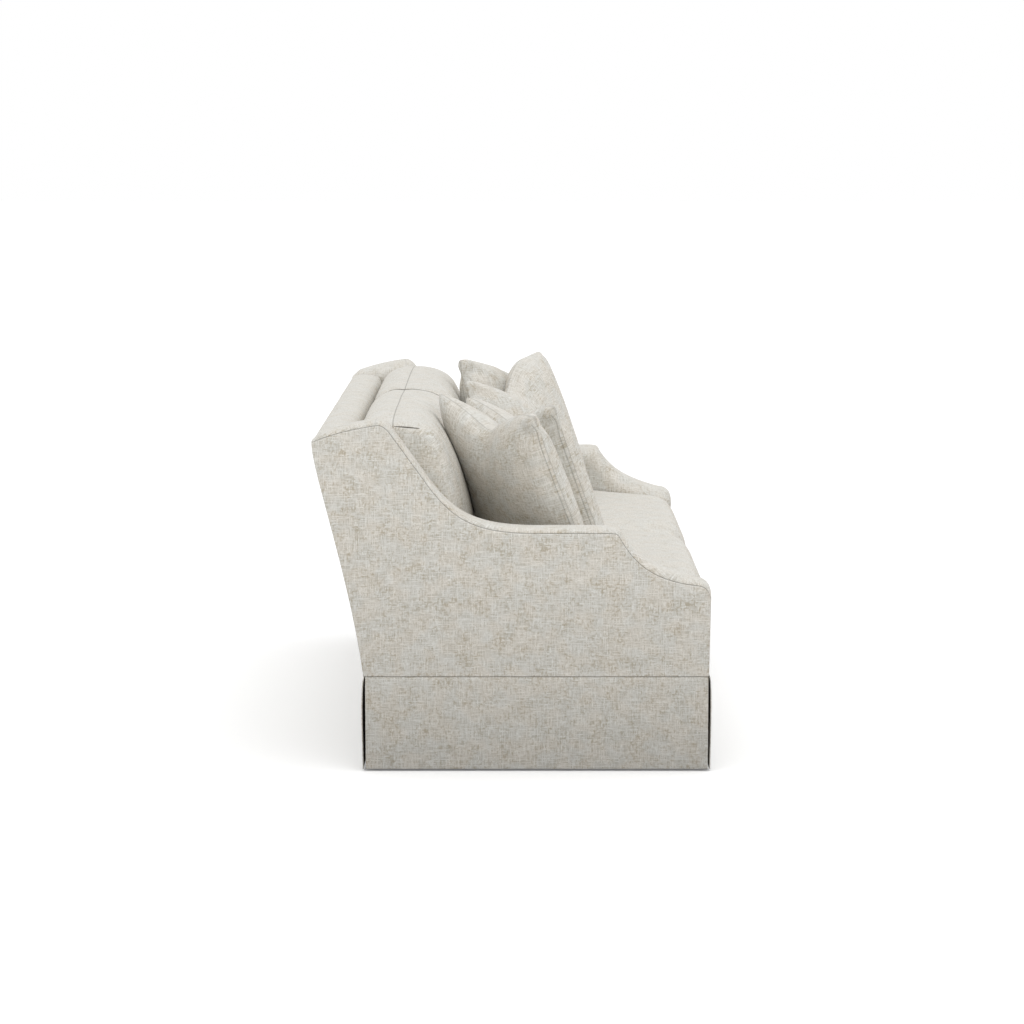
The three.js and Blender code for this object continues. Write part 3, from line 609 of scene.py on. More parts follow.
def sheetForm(columns, rows, place, width, height, clothShift, way, seamTop=0.0, seamSides=False):
    # a grid laid by place(across, up), both from 0 to 1, with its own cloth and seam maps
    bm = newGrid(columns, rows)
    shares = {vert: (edged(round((vert.co.x + 0.5) * columns), columns, width),
                     edged(round((vert.co.y + 0.5) * rows), rows, height)) for vert in bm.verts}

    def cloth(face, vert):
        across, up = shares[vert]
        return across * width + clothShift, up * height

    # where shade is painted: along the top seam, and along the sides if asked
    def seam(face, vert):
        across, up = shares[vert]
        edges = [(1 - up) * height - seamTop] + ([min(across, 1 - across) * width] if seamSides else [])
        return min(edges), 1.0

    layMaps(bm, cloth, seam)
    for vert, (across, up) in shares.items():
        vert.co = place(across, up)
    faceTowards(bm, way)
    return bm


outsideBackValues = {
    "bottom": 0.2533,
    "top": 0.8635,
    "wingTop": 0.8712,
    "half": 1.0812,
    "wall": 0.0045,
    "inset": 0.0012,  # from the rear line
    "rim": (0.004, 0.006),  # how far it draws in at its border, and over what width
}


def outsideBackPlace(across, up):
    values = outsideBackValues
    sunk, width = values["rim"]
    x = (1 - 2 * across) * values["half"]
    height = values["top" if abs(x) < sofa["armIn"] else "wingTop"] - values["bottom"]
    z = values["bottom"] + up * height
    edge = min(min(across, 1 - across) * 2 * values["half"], min(up, 1 - up) * height)
    return Vector((x, rearAt(z) - values["inset"] - sunk * max(0.0, 1 - edge / width) ** 2, z))


bm = sheetForm(120, 90, outsideBackPlace, 2 * outsideBackValues["half"],
               outsideBackValues["top"] - outsideBackValues["bottom"], 30.0, Vector((0, 1, 0)), 0.001, True)
outsideBack = makePiece("outsideBack", bm, "frame", ["outside_back_panel"], linen,
                        wall=outsideBackValues["wall"])
print("sofa: back made")

# Border under the seats, the cloth deck and the dust cloth
border = {"half": 0.9494, "front": -0.5168, "back": -0.5050, "bottom": 0.2533, "top": 0.3250, "roll": 0.004}
outline = [Vector((x * border["half"], border[z]))
           for x, z in ((-1, "bottom"), (1, "bottom"), (1, "top"), (-1, "top"))]
bm = paddedPanel(outline, border["back"], border["front"], border["roll"],
                 lambda x, z, y: Vector((x, y, z)), 34.0)
makePiece("frontBorder", bm, "frame", ["front_border"], linen)

deck = {
    "half": 0.9494,
    "front": -0.5043,
    "back": 0.3024,
    "springs": (-0.4921, 0.3624),
    "springLevel": 0.2946,
    "springCrown": 0.016,
    "roll": (0.006, 0.03),  # how far the border drops, and over what width
    "cuts": 40,
    "dent": 0.0012,
    "lip": 0.11,  # front strip of the deck, sewn on
}


def deckForm():
    bm = newForm()
    middle, half = (deck["front"] + deck["back"]) / 2, (deck["back"] - deck["front"]) / 2
    (firstSpring, lastSpring), (roll, rollWidth) = deck["springs"], deck["roll"]
    bmesh.ops.create_cube(bm, size=2)
    bmesh.ops.scale(bm, verts=bm.verts[:], vec=(deck["half"], half, 0.012))
    level = [e for e in bm.edges if abs(e.verts[0].co.z - e.verts[1].co.z) < 0.001]
    bmesh.ops.subdivide_edges(bm, edges=level, cuts=deck["cuts"], use_grid_fill=True)
    bmesh.ops.translate(bm, verts=bm.verts[:], vec=(0, middle, 0))
    for vert in bm.verts:
        x, y, z = vert.co
        edge = min(deck["half"] - abs(x), half - abs(y - middle))
        if z > 0:
            rolled = roll * max(0.0, 1 - edge / rollWidth) ** 2
            vert.co.z = sofa["deck"] - deck["dent"] - rolled + min(0, deck["dent"] * noiseAt(x * 5, y * 5, 8))
        else:
            share = (y - firstSpring) / (lastSpring - firstSpring)
            vert.co.z = deck["springLevel"] + deck["springCrown"] * (1 - (2 * share - 1) ** 2)
    # painted shade along the seam of the front strip
    layMaps(bm, lambda face, vert: vert.co.xy,
            lambda face, vert: (vert.co.y - deck["front"] - deck["lip"], 1.0))
    faceOut(bm)
    return bm


makePiece("deck", deckForm(), "frame", ["deck_pad"], deckCloth)

dustCloth = {"half": 0.9900, "front": -0.5044, "back": 0.3747, "level": 0.1096, "wall": 0.0008,
             "leg": (-0.0649, 0.0226), "hem": 0.012, "sag": 0.003, "held": 0.2}  # no sag this near the leg


def dustClothForm():
    half, front, back = (dustCloth[key] for key in ("half", "front", "back"))
    legY, reach = dustCloth["leg"]
    bm = newGrid(24, 12)
    bmesh.ops.scale(bm, verts=bm.verts[:], vec=(2 * half, back - front, 1))
    bmesh.ops.translate(bm, verts=bm.verts[:], vec=(0, (back + front) / 2, 0))
    for way, middle in ((Vector((1, 0, 0)), 0), (Vector((0, 1, 0)), legY)):  # a hole for the middle leg
        for at in (middle + reach, middle - reach):
            geom = bm.verts[:] + bm.edges[:] + bm.faces[:]
            bmesh.ops.bisect_plane(bm, geom=geom, plane_co=way * at, plane_no=way)
    inHole = [f for f in bm.faces if abs(f.calc_center_median().x) < reach
              and abs(f.calc_center_median().y - legY) < reach]
    bmesh.ops.delete(bm, geom=inHole, context="FACES")
    # painted shade along the hem's seam
    layMaps(bm, lambda face, vert: vert.co.xy,
            lambda face, vert: (half - abs(vert.co.x) - dustCloth["hem"], 1.0))
    for vert in bm.verts:
        x, y = vert.co.xy
        across = 1 - (abs(x) / half) ** 2
        along = max(0.0, (y - front) * (back - y)) / ((back - front) / 2) ** 2
        near = min(1.0, Vector((x, y - legY)).length / dustCloth["held"])
        vert.co.z = dustCloth["level"] - dustCloth["sag"] * across * along * near
    faceTowards(bm, Vector((0, 0, -1)))
    return bm


piece = makePiece("dustCloth", dustClothForm(), "frame", ["dust_cover"], cambric,
                  wall=dustCloth["wall"])
print("sofa: border, deck and dust cloth made")

# Skirt panels, and an underlay folded round behind each corner slit
skirt = {
    "top": 0.2527,
    "wall": 0.0024,
    "rows": 24,
    "column": 0.012,
    "wave": (0.0007, 2.3),  # height, and waves a metre
    "roll": (0.0013, 0.004),  # how far the upper edge rolls in, and over what height
    "drawnOver": 0.2,  # length of hem that is drawn towards a corner
    "front": -0.5199,
    "back": 0.3957,
    "sides": (-0.5140, 0.3906),
}


def skirtPanel(name, node, corner, along, outward, clothShift, flare=0.0, spread=0.0, drawn=(0.0, 0.0)):
    # corner is the panel's lower left corner seen from outside, along its width
    width, height = along.length, skirt["top"] - sofa["hem"]
    (roll, rollHeight), (wave, waves) = skirt["roll"], skirt["wave"]

    def place(across, up):
        low = 1 - up
        sway = wave * low * noiseAt(across * width * waves, clothShift * 0.37, 0.4)
        rolled = roll * max(0.0, 1 - low * height / rollHeight) ** 2
        out = sway + flare * math.sin(math.pi * low ** 0.6) + spread * low - 0.0004 - rolled
        near = [max(0.0, 1 - share * width / skirt["drawnOver"]) for share in (across, 1 - across)]
        shift = (drawn[0] * near[0] - drawn[1] * near[1]) * low ** 1.4
        return (corner + along * across + along.normalized() * shift + outward * out
                + Vector((0, 0, up * height)))

    columns = round(width / skirt["column"])
    bm = sheetForm(columns, skirt["rows"], place, width, height, clothShift, outward, 1.0)
    piece = makePiece(name, bm, "frame", [node], linen, wall=skirt["wall"])


w, hem = sofa["halfWidth"], sofa["hem"]
sideFront, sideBack = skirt["sides"]
skirtPanel("skirtFront", "skirt_front", Vector((-w, skirt["front"], hem)), Vector((2 * w, 0, 0)),
           Vector((0, -1, 0)), 40.0, flare=0.0030, spread=0.0008)
skirtPanel("skirtBack", "skirt_back", Vector((w, skirt["back"], hem)), Vector((-2 * w, 0, 0)),
           Vector((0, 1, 0)), 44.0, flare=0.0044, spread=0.0026)
skirtPanel("skirtSide_right", "skirt_side_right", Vector((w, sideFront, hem)),
           Vector((0, sideBack - sideFront, 0)), Vector((1, 0, 0)), 49.0, drawn=(0.0, 0.0006))
skirtPanel("skirtSide_left", "skirt_side_left", Vector((-w, sideBack, hem)),
           Vector((0, sideFront - sideBack, 0)), Vector((-1, 0, 0)), 5.0 - sideBack, drawn=(0.0006, 0.0))

underlay = {"reach": 0.130, "corner": 0.027, "wall": 0.0018, "bottom": 0.0092, "top": 0.2525, "x": 1.0855,
            "front": -0.5154, "rear": 0.3888, "sway": 0.002}


def underlayLine(cornerY, inward):  # from the end panel round to the long one, as (X, Y)
    x, reach, radius = underlay["x"], underlay["reach"], underlay["corner"]
    return lineThrough([
        [(x, cornerY + inward * reach), (x, cornerY + inward * radius)],
        [(x, cornerY), (x - radius, cornerY)],
        [(x - reach, cornerY)],
    ])


for end, side in ends.items():
    for place, inward, above in (("front", 1, "front_border"), ("rear", -1, "outsideBack")):
        run, length = evenly(underlayLine(underlay[place], inward), 48)
        height = underlay["top"] - underlay["bottom"]

        def hang(across, up):
            sway = underlay["sway"] * (1 - up) * (1 + math.sin(across * 9)) / 2
            at = placeOn(run, across) + Vector((-1, inward)).normalized() * sway
            return Vector((side * at.x, at.y, underlay["bottom"] + up * height))

        bm = sheetForm(47, 10, hang, length, height, 52 + side, Vector((side, -inward, 0)), 1.0)
        piece = makePiece(f"pleatUnderlay_{place}_{end}", bm, "frame", [f"pleat_underlay_{place}_{end}"],
                          lining, wall=underlay["wall"])
print("sofa: skirt made")

# Loose seat and back cushions: a section in (Y, Z) that changes towards the ends
seatCushion = {
    "cuts": 46,
    "cloth": 60,  # where its piece of cloth lies
    "bulge": 0.005,
    "wobble": 0.0016,
    # where the rounding of an end starts, as shares of the half length
    "round": {"front": 0.72, "top": 0.56, "rear": 0.93, "bottom": 0.93},
    "fall": (0.8, 1.7, 0.56),  # share, power and start of the long gentle fall towards an end
    "middle": {
        "front": [(-0.497, 0.3275), (-0.513, 0.340), (-0.523, 0.368), (-0.5268, 0.402), (-0.5235, 0.435),
                  (-0.512, 0.466), (-0.494, 0.492)],
        "top": [(-0.494, 0.492), (-0.470, 0.5045), (-0.430, 0.5100), (-0.340, 0.5130), (-0.15, 0.5140),
                (0.10, 0.5130), (0.26, 0.5105), (0.302, 0.5010)],
        "rear": [(0.300, 0.3275), (0.3025, 0.340), (0.3027, 0.42), (0.3026, 0.485), (0.302, 0.5010)],
        "bottom": [(-0.497, 0.3275), (-0.48, 0.3256), (0.0, 0.3254), (0.28, 0.3256), (0.300, 0.3275)],
    },
    "end": {
        "front": [(-0.472, 0.334), (-0.486, 0.346), (-0.496, 0.372), (-0.500, 0.400), (-0.499, 0.425),
                  (-0.493, 0.444), (-0.480, 0.460)],
        "top": [(-0.480, 0.460), (-0.470, 0.4720), (-0.450, 0.4815), (-0.417, 0.4890), (-0.367, 0.4955),
                (-0.30, 0.5025), (-0.24, 0.5080), (-0.10, 0.5095), (0.10, 0.5095), (0.24, 0.5060),
                (0.288, 0.492)],
        "rear": [(0.286, 0.337), (0.290, 0.350), (0.291, 0.41), (0.290, 0.47), (0.288, 0.490)],
        "bottom": [(-0.472, 0.334), (-0.45, 0.3300), (0.0, 0.3290), (0.26, 0.3300), (0.286, 0.337)],
    },
    "zip": (0.410, 0.24),  # height and half length of the lap over it
    "seam": None,
    "frontSeam": 0.352,
}
backCushion = {
    "cuts": 50,
    "cloth": 80,
    "bulge": 0.007,
    "wobble": 0.0022,
    "round": {"front": 0.68, "top": 0.89, "rear": 0.88, "bottom": 0.90},
    "fall": (0.36, 1.6, 0.45),
    "pressed": (0.955, 0.16),  # rounding and fall of the end against the other back cushion
    "slack": {"left": 1.15, "right": 0.5},  # how much of its fall that end has
    "middle": {
        "front": [(0.126, 0.5030), (0.112, 0.525), (0.107, 0.575), (0.112, 0.630), (0.124, 0.690),
                  (0.138, 0.745), (0.152, 0.800), (0.166, 0.846), (0.184, 0.880)],
        "top": [(0.184, 0.880), (0.203, 0.8990), (0.232, 0.9160), (0.264, 0.9250), (0.294, 0.9275),
                (0.312, 0.9255), (0.3210, 0.9238), (0.330, 0.9258), (0.350, 0.9268), (0.378, 0.9190),
                (0.405, 0.8990), (0.4235, 0.8600)],
        "rear": [(padFace(z) - 0.0008, z) for z in (0.5120, 0.56, 0.62, 0.68, 0.74, 0.80, 0.84)]
                + [(0.4235, 0.8600)],
        "bottom": [(0.126, 0.5030), (0.16, 0.5012), (0.30, 0.5008), (padFace(0.5120) - 0.0008, 0.5120)],
    },
    "end": {
        "front": [(0.172, 0.512), (0.157, 0.535), (0.152, 0.580), (0.158, 0.635), (0.168, 0.690),
                  (0.179, 0.745), (0.190, 0.790), (0.203, 0.828), (0.221, 0.860)],
        "top": [(0.221, 0.860), (0.236, 0.8720), (0.257, 0.8800), (0.283, 0.8850), (0.304, 0.8905),
                (0.3190, 0.8945), (0.334, 0.8915), (0.350, 0.884), (0.369, 0.871), (0.384, 0.851),
                (0.390, 0.825)],
        "rear": [(padFace(z) - gap, z) for z, gap in (
            (0.5200, 0.010), (0.57, 0.010), (0.62, 0.012), (0.68, 0.014), (0.74, 0.018), (0.785, 0.026))]
                + [(0.390, 0.825)],
        "bottom": [(0.172, 0.512), (0.195, 0.5060), (0.29, 0.5055), (padFace(0.5200) - 0.010, 0.5200)],
    },
    "zip": (0.603, 0.24),
    "seam": 0.3200,  # Y of the seam along the top and down the ends
    "tuck": (0.2835, 0.0400, 0.8975, 0.09),  # painted shade of the slit in the fold at an outer end: middle, half width, height and slope
    "shade": (0.04, 0.0095, 2.2),  # painted shade line in the crease between the two cushions: looked for up to X, its X, and its width
    # hollow that a pillow leaves, as place along the sofa, height, reach of each and depth
    "hollow": {"left": (0.56, 0.885, 0.34, 0.085, 0.021), "right": (0.62, 0.885, 0.30, 0.085, 0.004)},
}


def eased(value):
    return math.sin(value * math.pi / 2)


def nameOfSide(normal):
    axis = max(range(3), key=lambda i: abs(normal[i]))
    return (("end", "end"), ("front", "rear"), ("bottom", "top"))[axis][normal[axis] > 0]


def sectionPlace(sides, across, up):  # across runs from front to rear, up from the foot
    front, rear, bottom, top = (sides[name][0] for name in ("front", "rear", "bottom", "top"))
    corners = bottom[0].lerp(bottom[-1], across).lerp(top[0].lerp(top[-1], across), up)
    return (placeOn(front, up).lerp(placeOn(rear, up), across)
            + placeOn(bottom, across).lerp(placeOn(top, across), up) - corners)


def cushionForm(values, end, side):
    middle = {name: curveThrough(points) for name, points in values["middle"].items()}
    ending = {name: curveThrough(points) for name, points in values["end"].items()}
    lengths = {name: middle[name][1] for name in middle}
    start, (fall, fallPower, fallStart) = values["round"], values["fall"]
    clothShift, half = values["cloth"] + side * 2, sofa["cushionHalf"]
    isBack = values["seam"] is not None
    bm = newForm()
    bmesh.ops.create_cube(bm, size=2)
    bmesh.ops.subdivide_edges(bm, edges=bm.edges[:], cuts=values["cuts"], use_grid_fill=True)
    bm.normal_update()
    sideOf = {face: nameOfSide(face.normal) for face in bm.faces}
    shares = {vert: tuple(eased(v) for v in vert.co) for vert in bm.verts}
    for vert, (a, b, c) in shares.items():
        across, up = (b + 1) / 2, (c + 1) / 2
        low = start["bottom"] + (start["front"] - start["bottom"]) * (1 - across) ** 3
        low += (start["rear"] - start["bottom"]) * across ** 3
        pressed = isBack and a < 0  # the end against the other back cushion
        high, gentle = values["pressed"] if pressed else (start["top"], fall)
        rounding = low + (high - low) * up ** 3
        turn = max(0.0, (abs(a) - rounding) / (1 - rounding)) * math.pi / 2
        x = abs(a) if turn == 0 else rounding + (1 - rounding) * math.sin(turn)
        long = max(0.0, (x - fallStart) / (1 - fallStart)) ** fallPower * gentle
        drop = (long + (1 - gentle) * (1 - math.cos(turn))) * (values["slack"][end] if pressed else 1)
        place = sectionPlace(middle, across, up).lerp(sectionPlace(ending, across, up), drop)
        bulge = values["bulge"] * (1 - max(abs(b), abs(c)) ** 4) if abs(a) > 0.9999 else 0
        x = x * (half - values["bulge"]) + bulge
        wobble = values["wobble"] * noiseAt(a * 2.2 + side * 3.7, b * 1.6, c * 1.6)
        free = min(1.0, 2 * up) if b < 0.99 and c > -0.99 else 0
        vert.co = Vector((math.copysign(x, a) + sofa["cushionMiddle"], place.x, place.y + wobble * free))
        if isBack:
            along, height, reachAlong, reachUp, deep = values["hollow"][end]
            near = ((vert.co.x - along) / reachAlong) ** 2 + ((vert.co.z - height) / reachUp) ** 2
            vert.co.y += deep * math.exp(-near) * (1 - across) ** 2

    def cloth(face, vert):
        a, b, c = shares[vert]
        name, along = sideOf[face], vert.co.x + clothShift
        if name == "front":
            return along, (c + 1) / 2 * lengths["front"]
        if name == "top":
            return along, lengths["front"] + (b + 1) / 2 * lengths["top"]
        if name == "rear":
            return along, lengths["front"] + lengths["top"] + (1 - c) / 2 * lengths["rear"]
        if name == "bottom":
            return along, -(b + 1) / 2 * lengths["bottom"]
        return vert.co.y + clothShift + 2 * math.copysign(1, a), vert.co.z

    # where shade is painted: along the seams, the edge of the lap over the zip, and on back cushions the
    # tuck's slit and the crease
    def seam(face, vert):
        a, b, c = shares[vert]
        name, place = sideOf[face], vert.co
        fromMiddle = abs(place.x - sofa["cushionMiddle"])
        sewn, row = 1.0, 1.0
        if name == "rear":
            height, reach = values["zip"]
            sewn = place.z - height
            row = sewn + 0.014 if fromMiddle < reach else 1.0
        elif isBack and (name == "top" or name == "end" and place.z > 0.55):
            sewn = place.y - values["seam"]
        elif name == "front" and not isBack:
            sewn = place.z - values["frontSeam"]
        elif name == "end" and not isBack:
            sewn = (1 - max(abs(b), abs(c))) * 0.08 + 0.0005
        if isBack and name in ("top", "end"):
            at, width, height, slope = values["tuck"]
            lens = 1 - ((place.y - at) / width) ** 2
            reach, middle, softness = values["shade"]
            # painted shade in the crease, on the right cushion's end against the left one
            if name == "top" and end == "right" and place.x < reach:
                row = (place.x - middle) / softness
            # the fold's slit at the outer end is a dark line of painted shade
            if lens > 0 and half - fromMiddle < 0.06 and a > 0:
                row = (place.z - height - slope * (place.y - at)) / (lens + 0.1)
        return sewn, row

    layMaps(bm, cloth, seam)
    faceOut(bm)
    return bm


for end, side in ends.items():
    for kind, values, inside, fill, material in (("seat", seatCushion, "core", 0.8, linen),
                                                 ("back", backCushion, "insert", 0.7, tuckedLinen)):
        bm = cushionForm(values, end, side)
        if side < 0:
            mirrorAcross(bm)
        body = f"{kind}_cushion_{end}"
        piece = makePiece(f"{kind}Cushion_{end}", bm, body, [f"{body}_cover", f"{body}_{inside}"], material,
                          levels=1)
print("sofa: seat and back cushions made")

# Pillows
pillow = {
    "edge": 0.510,
    "segments": 46,
    "square": 18,  # how square the cut's corners are
    "waist": 0.040,  # how far the edges draw in between the ears
    "thickness": 0.150,
    "plump": (2.3, 0.50),
    "crease": (0.42, 0.17),  # depth and reach of the chop's crease down each face
    "ridge": (0.09, 0.5, 0.25),  # height, place and reach of the fuller part on each side of it
    "uneven": 0.02,
    "frames": 14,
    "settling": 0.006,  # farthest that the simulation moves the cloth
    "lap": 0.0105,  # lap over the zip, along one upright edge
    # one ear stands out over a dent: place as shares of the half edge, reach and height
    "ears": ((0.90, 0.92, 0.024, 0.007), (0.86, 0.79, 0.022, -0.015)),
    "slump": 0.03,
    "clearance": 0.0012,  # kept from what it leans on
}
pillowCloth = {
    "quality": 6,
    "mass": 0.3,
    "tension_stiffness": 25,
    "compression_stiffness": 25,
    "shear_stiffness": 10,
    "bending_stiffness": 1.5,
    "air_damping": 5,
    "use_pressure": True,
    "uniform_pressure_force": 2.2,
    "vertex_group_mass": "held",
}
# lower edge's middle; turn about Z, lean back and tilt in its own plane; then the chop's place across, depth
# and two reaches
pillowPlaces = {
    "rear_left": ((-0.658, -0.099, 0.493), 31.1, 25.4, 3.3, (0.10, 0.080, 0.95, 0.95)),
    "front_left": ((-0.497, -0.150, 0.470), 30.4, 21.8, -1.5, (0.05, 0.068, 0.95, 0.95)),
    "rear_right": ((0.640, -0.050, 0.466), -30.5, 13.0, -4.0, (0.20, 0.042, 1.15, 0.6)),
    "front_right": ((0.457, -0.112, 0.472), -31.4, 17.1, 8.3, (-0.18, 0.084, 0.85, 0.60)),
}


def plumpPillow(clothShift, chop, seed):
    # two square cloths sewn round their edge and filled, with the middle of the top edge struck in
    size, count, power, waist = pillow["edge"] / 2, pillow["segments"], pillow["square"], pillow["waist"]
    (bend, fullness), (creaseDepth, creaseReach) = pillow["plump"], pillow["crease"]
    ridge, ridgePlace, ridgeReach = pillow["ridge"]
    chopAt, chopDepth, *reaches = chop
    bm = newGrid(count, count, 1)
    bmesh.ops.rotate(bm, verts=bm.verts[:], matrix=Matrix.Rotation(math.pi / 2, 3, "X"))
    copied = bmesh.ops.duplicate(bm, geom=bm.verts[:] + bm.edges[:] + bm.faces[:])
    behind = set(only(BMVert, copied))
    bmesh.ops.reverse_faces(bm, faces=only(BMFace, copied))
    shares = {vert: (eased(vert.co.x), eased(vert.co.z)) for vert in bm.verts}

    def cloth(face, vert):
        u, v = shares[vert]
        return u * size + clothShift + (0.7 if face.verts[0] in behind else 0), v * size

    # painted shade along the edge seam and along the lap over the zip
    def seam(face, vert):
        u, v = shares[vert]
        lapped = face.verts[0] in behind and face.verts[1] in behind and u < -0.7 and abs(v) < 0.9
        sewn = math.hypot((1 - max(abs(u), abs(v))) * size, vert.co.y)
        return sewn, sewn - pillow["lap"] if lapped else 1.0

    for vert, (u, v) in shares.items():
        norm = (abs(u) ** power + abs(v) ** power) ** (1 / power)
        square = max(abs(u), abs(v), 1e-6)
        shrink = 1 + (square / max(norm, 1e-6) - 1) * square ** 6
        x, z = u * shrink * (1 - waist * (1 - v * v)), v * shrink * (1 - waist * (1 - u * u))
        swell = ((1 - abs(u) ** bend) * (1 - abs(v) ** bend)) ** fullness
        # the chop: a broad V in the top edge, with a crease that dies out down each face
        off = (u - chopAt) / reaches[u > chopAt]
        struck = max(0.0, 1 - math.sqrt(off * off + 0.003) + 0.055) ** 1.6
        rising = max(0.0, (v + 0.25) / 1.25)
        z -= chopDepth / size * struck * rising ** 2.2
        fromCrease = (u - chopAt * (1 - v)) / creaseReach
        fromRidge = (abs(u - chopAt) - ridgePlace) / ridgeReach
        swell *= 1 - creaseDepth * math.exp(-fromCrease ** 2) * rising ** 2.5
        swell *= 1 + ridge * rising * math.exp(-fromRidge ** 2)
        lumps = noiseAt(u * 2.3 + seed, v * 2.3, 1.0 if vert in behind else 4.0)
        swell += pillow["uneven"] * lumps * (1 - square ** 4)
        swell *= pillow["thickness"] / 2 * (1 if vert in behind else -1)
        vert.co = Vector((x * size, swell, z * size))
    layMaps(bm, cloth, seam)
    bmesh.ops.remove_doubles(bm, verts=bm.verts[:], dist=0.0003)
    return bm


def settlePillow(name, bm):
    # the filling presses the cloth out into its own small folds, with the seam's chop held
    mesh = bpy.data.meshes.new(name)
    bm.to_mesh(mesh)
    form = addObject(name, mesh)
    held = form.vertex_groups.new(name="held")
    for vert in mesh.vertices:
        if abs(vert.co.y) < 0.002 and abs(vert.co.x) < 0.03 and vert.co.z > 0:
            held.add([vert.index], 1.0, "REPLACE")
    cloth = form.modifiers.new("cloth", "CLOTH")
    for setting, value in pillowCloth.items():
        setattr(cloth.settings, setting, value)
    cloth.settings.effector_weights.gravity = 0
    cloth.collision_settings.use_collision = False
    for at in range(1, pillow["frames"] + 1):
        scene.frame_set(at)
    graph = bpy.context.evaluated_depsgraph_get()
    moves = {vert: v.co - vert.co for vert, v in zip(bm.verts, form.evaluated_get(graph).data.vertices)}
    for step in range(3):  # the filling is too soft to hold small creases
        moves = {vert: (move + sum((moves[edge.other_vert(vert)] for edge in vert.link_edges), Vector()))
                 / (1 + len(vert.link_edges)) for vert, move in moves.items()}
    for vert, move in moves.items():
        vert.co += move * min(1.0, pillow["settling"] / max(1e-9, move.length))
    bpy.data.objects.remove(form)
    scene.frame_set(1)


def pressAgainst(bm, pieces, clearance):
    graph = bpy.context.evaluated_depsgraph_get()
    for tree in [BVHTree.FromObject(piece, graph) for piece in pieces]:
        for vert in bm.verts:
            place, normal, index, reach = tree.find_nearest(vert.co, 0.12)
            if place is not None and (vert.co - place).dot(normal) < clearance:
                vert.co = place + normal * clearance


for order, (place, (foot, turn, lean, tilt, chop)) in enumerate(pillowPlaces.items()):
    row, end = place.split("_")
    bm = plumpPillow(101.4 + 3 * order, chop, 5.0 * order)
    settlePillow(f"form_{place}", bm)
    half = pillow["edge"] / 2
    for vert in bm.verts:
        u, v, moved = vert.co.x / half, vert.co.z / half, 0
        for across, up, reach, height in pillow["ears"]:
            moved += height * math.exp(-(Vector((u + across, v - up)).length * half / reach) ** 2)
        slump = pillow["slump"] * max(0.0, -ends[end] * u) * max(0.0, -v)
        vert.co.y += moved * (1 if vert.co.y > 0 else -1) + slump
    stand = (Matrix.Translation(foot) @ Matrix.Rotation(math.radians(turn), 4, "Z")
             @ Matrix.Rotation(-math.radians(lean), 4, "X") @ Matrix.Translation((0, 0, half))
             @ Matrix.Rotation(-math.radians(tilt), 4, "Y"))
    bmesh.ops.transform(bm, matrix=stand, verts=bm.verts[:])
    against = [f"seatCushion_{end}", f"backCushion_{end}", f"pillow_rear_{end}"][:3 if row == "front" else 2]
    pressAgainst(bm, [bpy.data.objects[name] for name in against], pillow["clearance"])
    piece = makePiece(f"pillow_{place}", bm, f"pillow_{place}",
                      [f"pillow_{place}_cover", f"pillow_{place}_insert"], pillowLinen, levels=1)
    bpy.context.view_layer.update()
print("sofa: pillows made")


# Timber, springs and webbing keep their CAD shapes
def woodMaterial(name, pale, dark, turn, roughness=None):
    material, tree, shader = newMaterial(name, {})
    turned = makeNode(tree, "Mapping", {"Vector": ownPlace(tree), "Rotation": turn}).outputs["Vector"]
    values = {"Along grain": turned, "Pale wood": pale, "Dark wood": dark}
    grain = makeNode(tree, "Group", node_tree=woodGrain)
    feed(grain, values)
    feed(shader, {"Base Color": grain.outputs["Color"], "Roughness": roughness or grain.outputs["Roughness"]})
    raiseBump(shader, grain.outputs["Height"], 0.25, 0.0004)
    return material


def springMaterial():
    material, tree, shader = newMaterial("spring steel", {"Metallic": 1.0})
    wear = streaks(ownPlace(tree), (60, 60, 60), 3.0, 4.0, "3D")
    feed(shader, {"Base Color": mixed(ranged(wear, 0.4, 0.7), (0.42, 0.43, 0.44, 1), (0.22, 0.19, 0.16, 1)),
                  "Roughness": ranged(wear, 0.35, 0.7, 0.28, 0.6)})
    return material


def juteMaterial():
    material, tree, shader = newMaterial("jute webbing", {"Roughness": 0.95})
    place = ownPlace(tree)
    across = streaks(place, (700, 700, 40), 1.0, 2.0, "3D")
    along = streaks(place, (40, 40, 700), 1.0, 6.0, "3D")
    threads = times(plus(across, along), 0.5)
    color = mixed(ranged(threads, 0.36, 0.62), (0.16, 0.105, 0.05, 1), (0.40, 0.30, 0.17, 1))
    feed(shader, {"Base Color": color})
    raiseBump(shader, threads, 0.6, 0.0008)
    return material


quarter = math.pi / 2
beechColors = ((0.56, 0.39, 0.21, 1), (0.40, 0.25, 0.12, 1))
beechAlongX = woodMaterial("beech along x", *beechColors, (0, quarter, 0))
beechAlongY = woodMaterial("beech along y", *beechColors, (quarter, 0, 0))
beechUpright = woodMaterial("beech upright", *beechColors, (0, 0, 0))
plywood = woodMaterial("plywood", (0.62, 0.47, 0.29, 1), (0.47, 0.33, 0.18, 1), (quarter, 0, 0))
darkLegs = woodMaterial("dark legs", (0.085, 0.045, 0.024, 1), (0.035, 0.018, 0.010, 1), (0, 0, 0), 0.42)
carried = {
    "front_rail": beechAlongX, "back_rail": beechAlongX, "back_top_rail": beechAlongX,
    "seat_stretcher": beechAlongY, "back_centre_post": beechUpright, "leg_centre": darkLegs,
    "back_webbing": juteMaterial(),
}
springSteel = springMaterial()
for end in ends:
    for part in ("arm_outer_board", "arm_inner_board"):
        carried[f"{part}_{end}"] = plywood
    for part in ("front_post", "back_post"):
        carried[f"{part}_{end}"] = beechUpright
    for place in ("front", "rear"):
        carried[f"corner_block_{place}_{end}"] = beechAlongX
        carried[f"leg_{place}_{end}"] = darkLegs
    carried[f"seat_spring_unit_{end}"] = springSteel
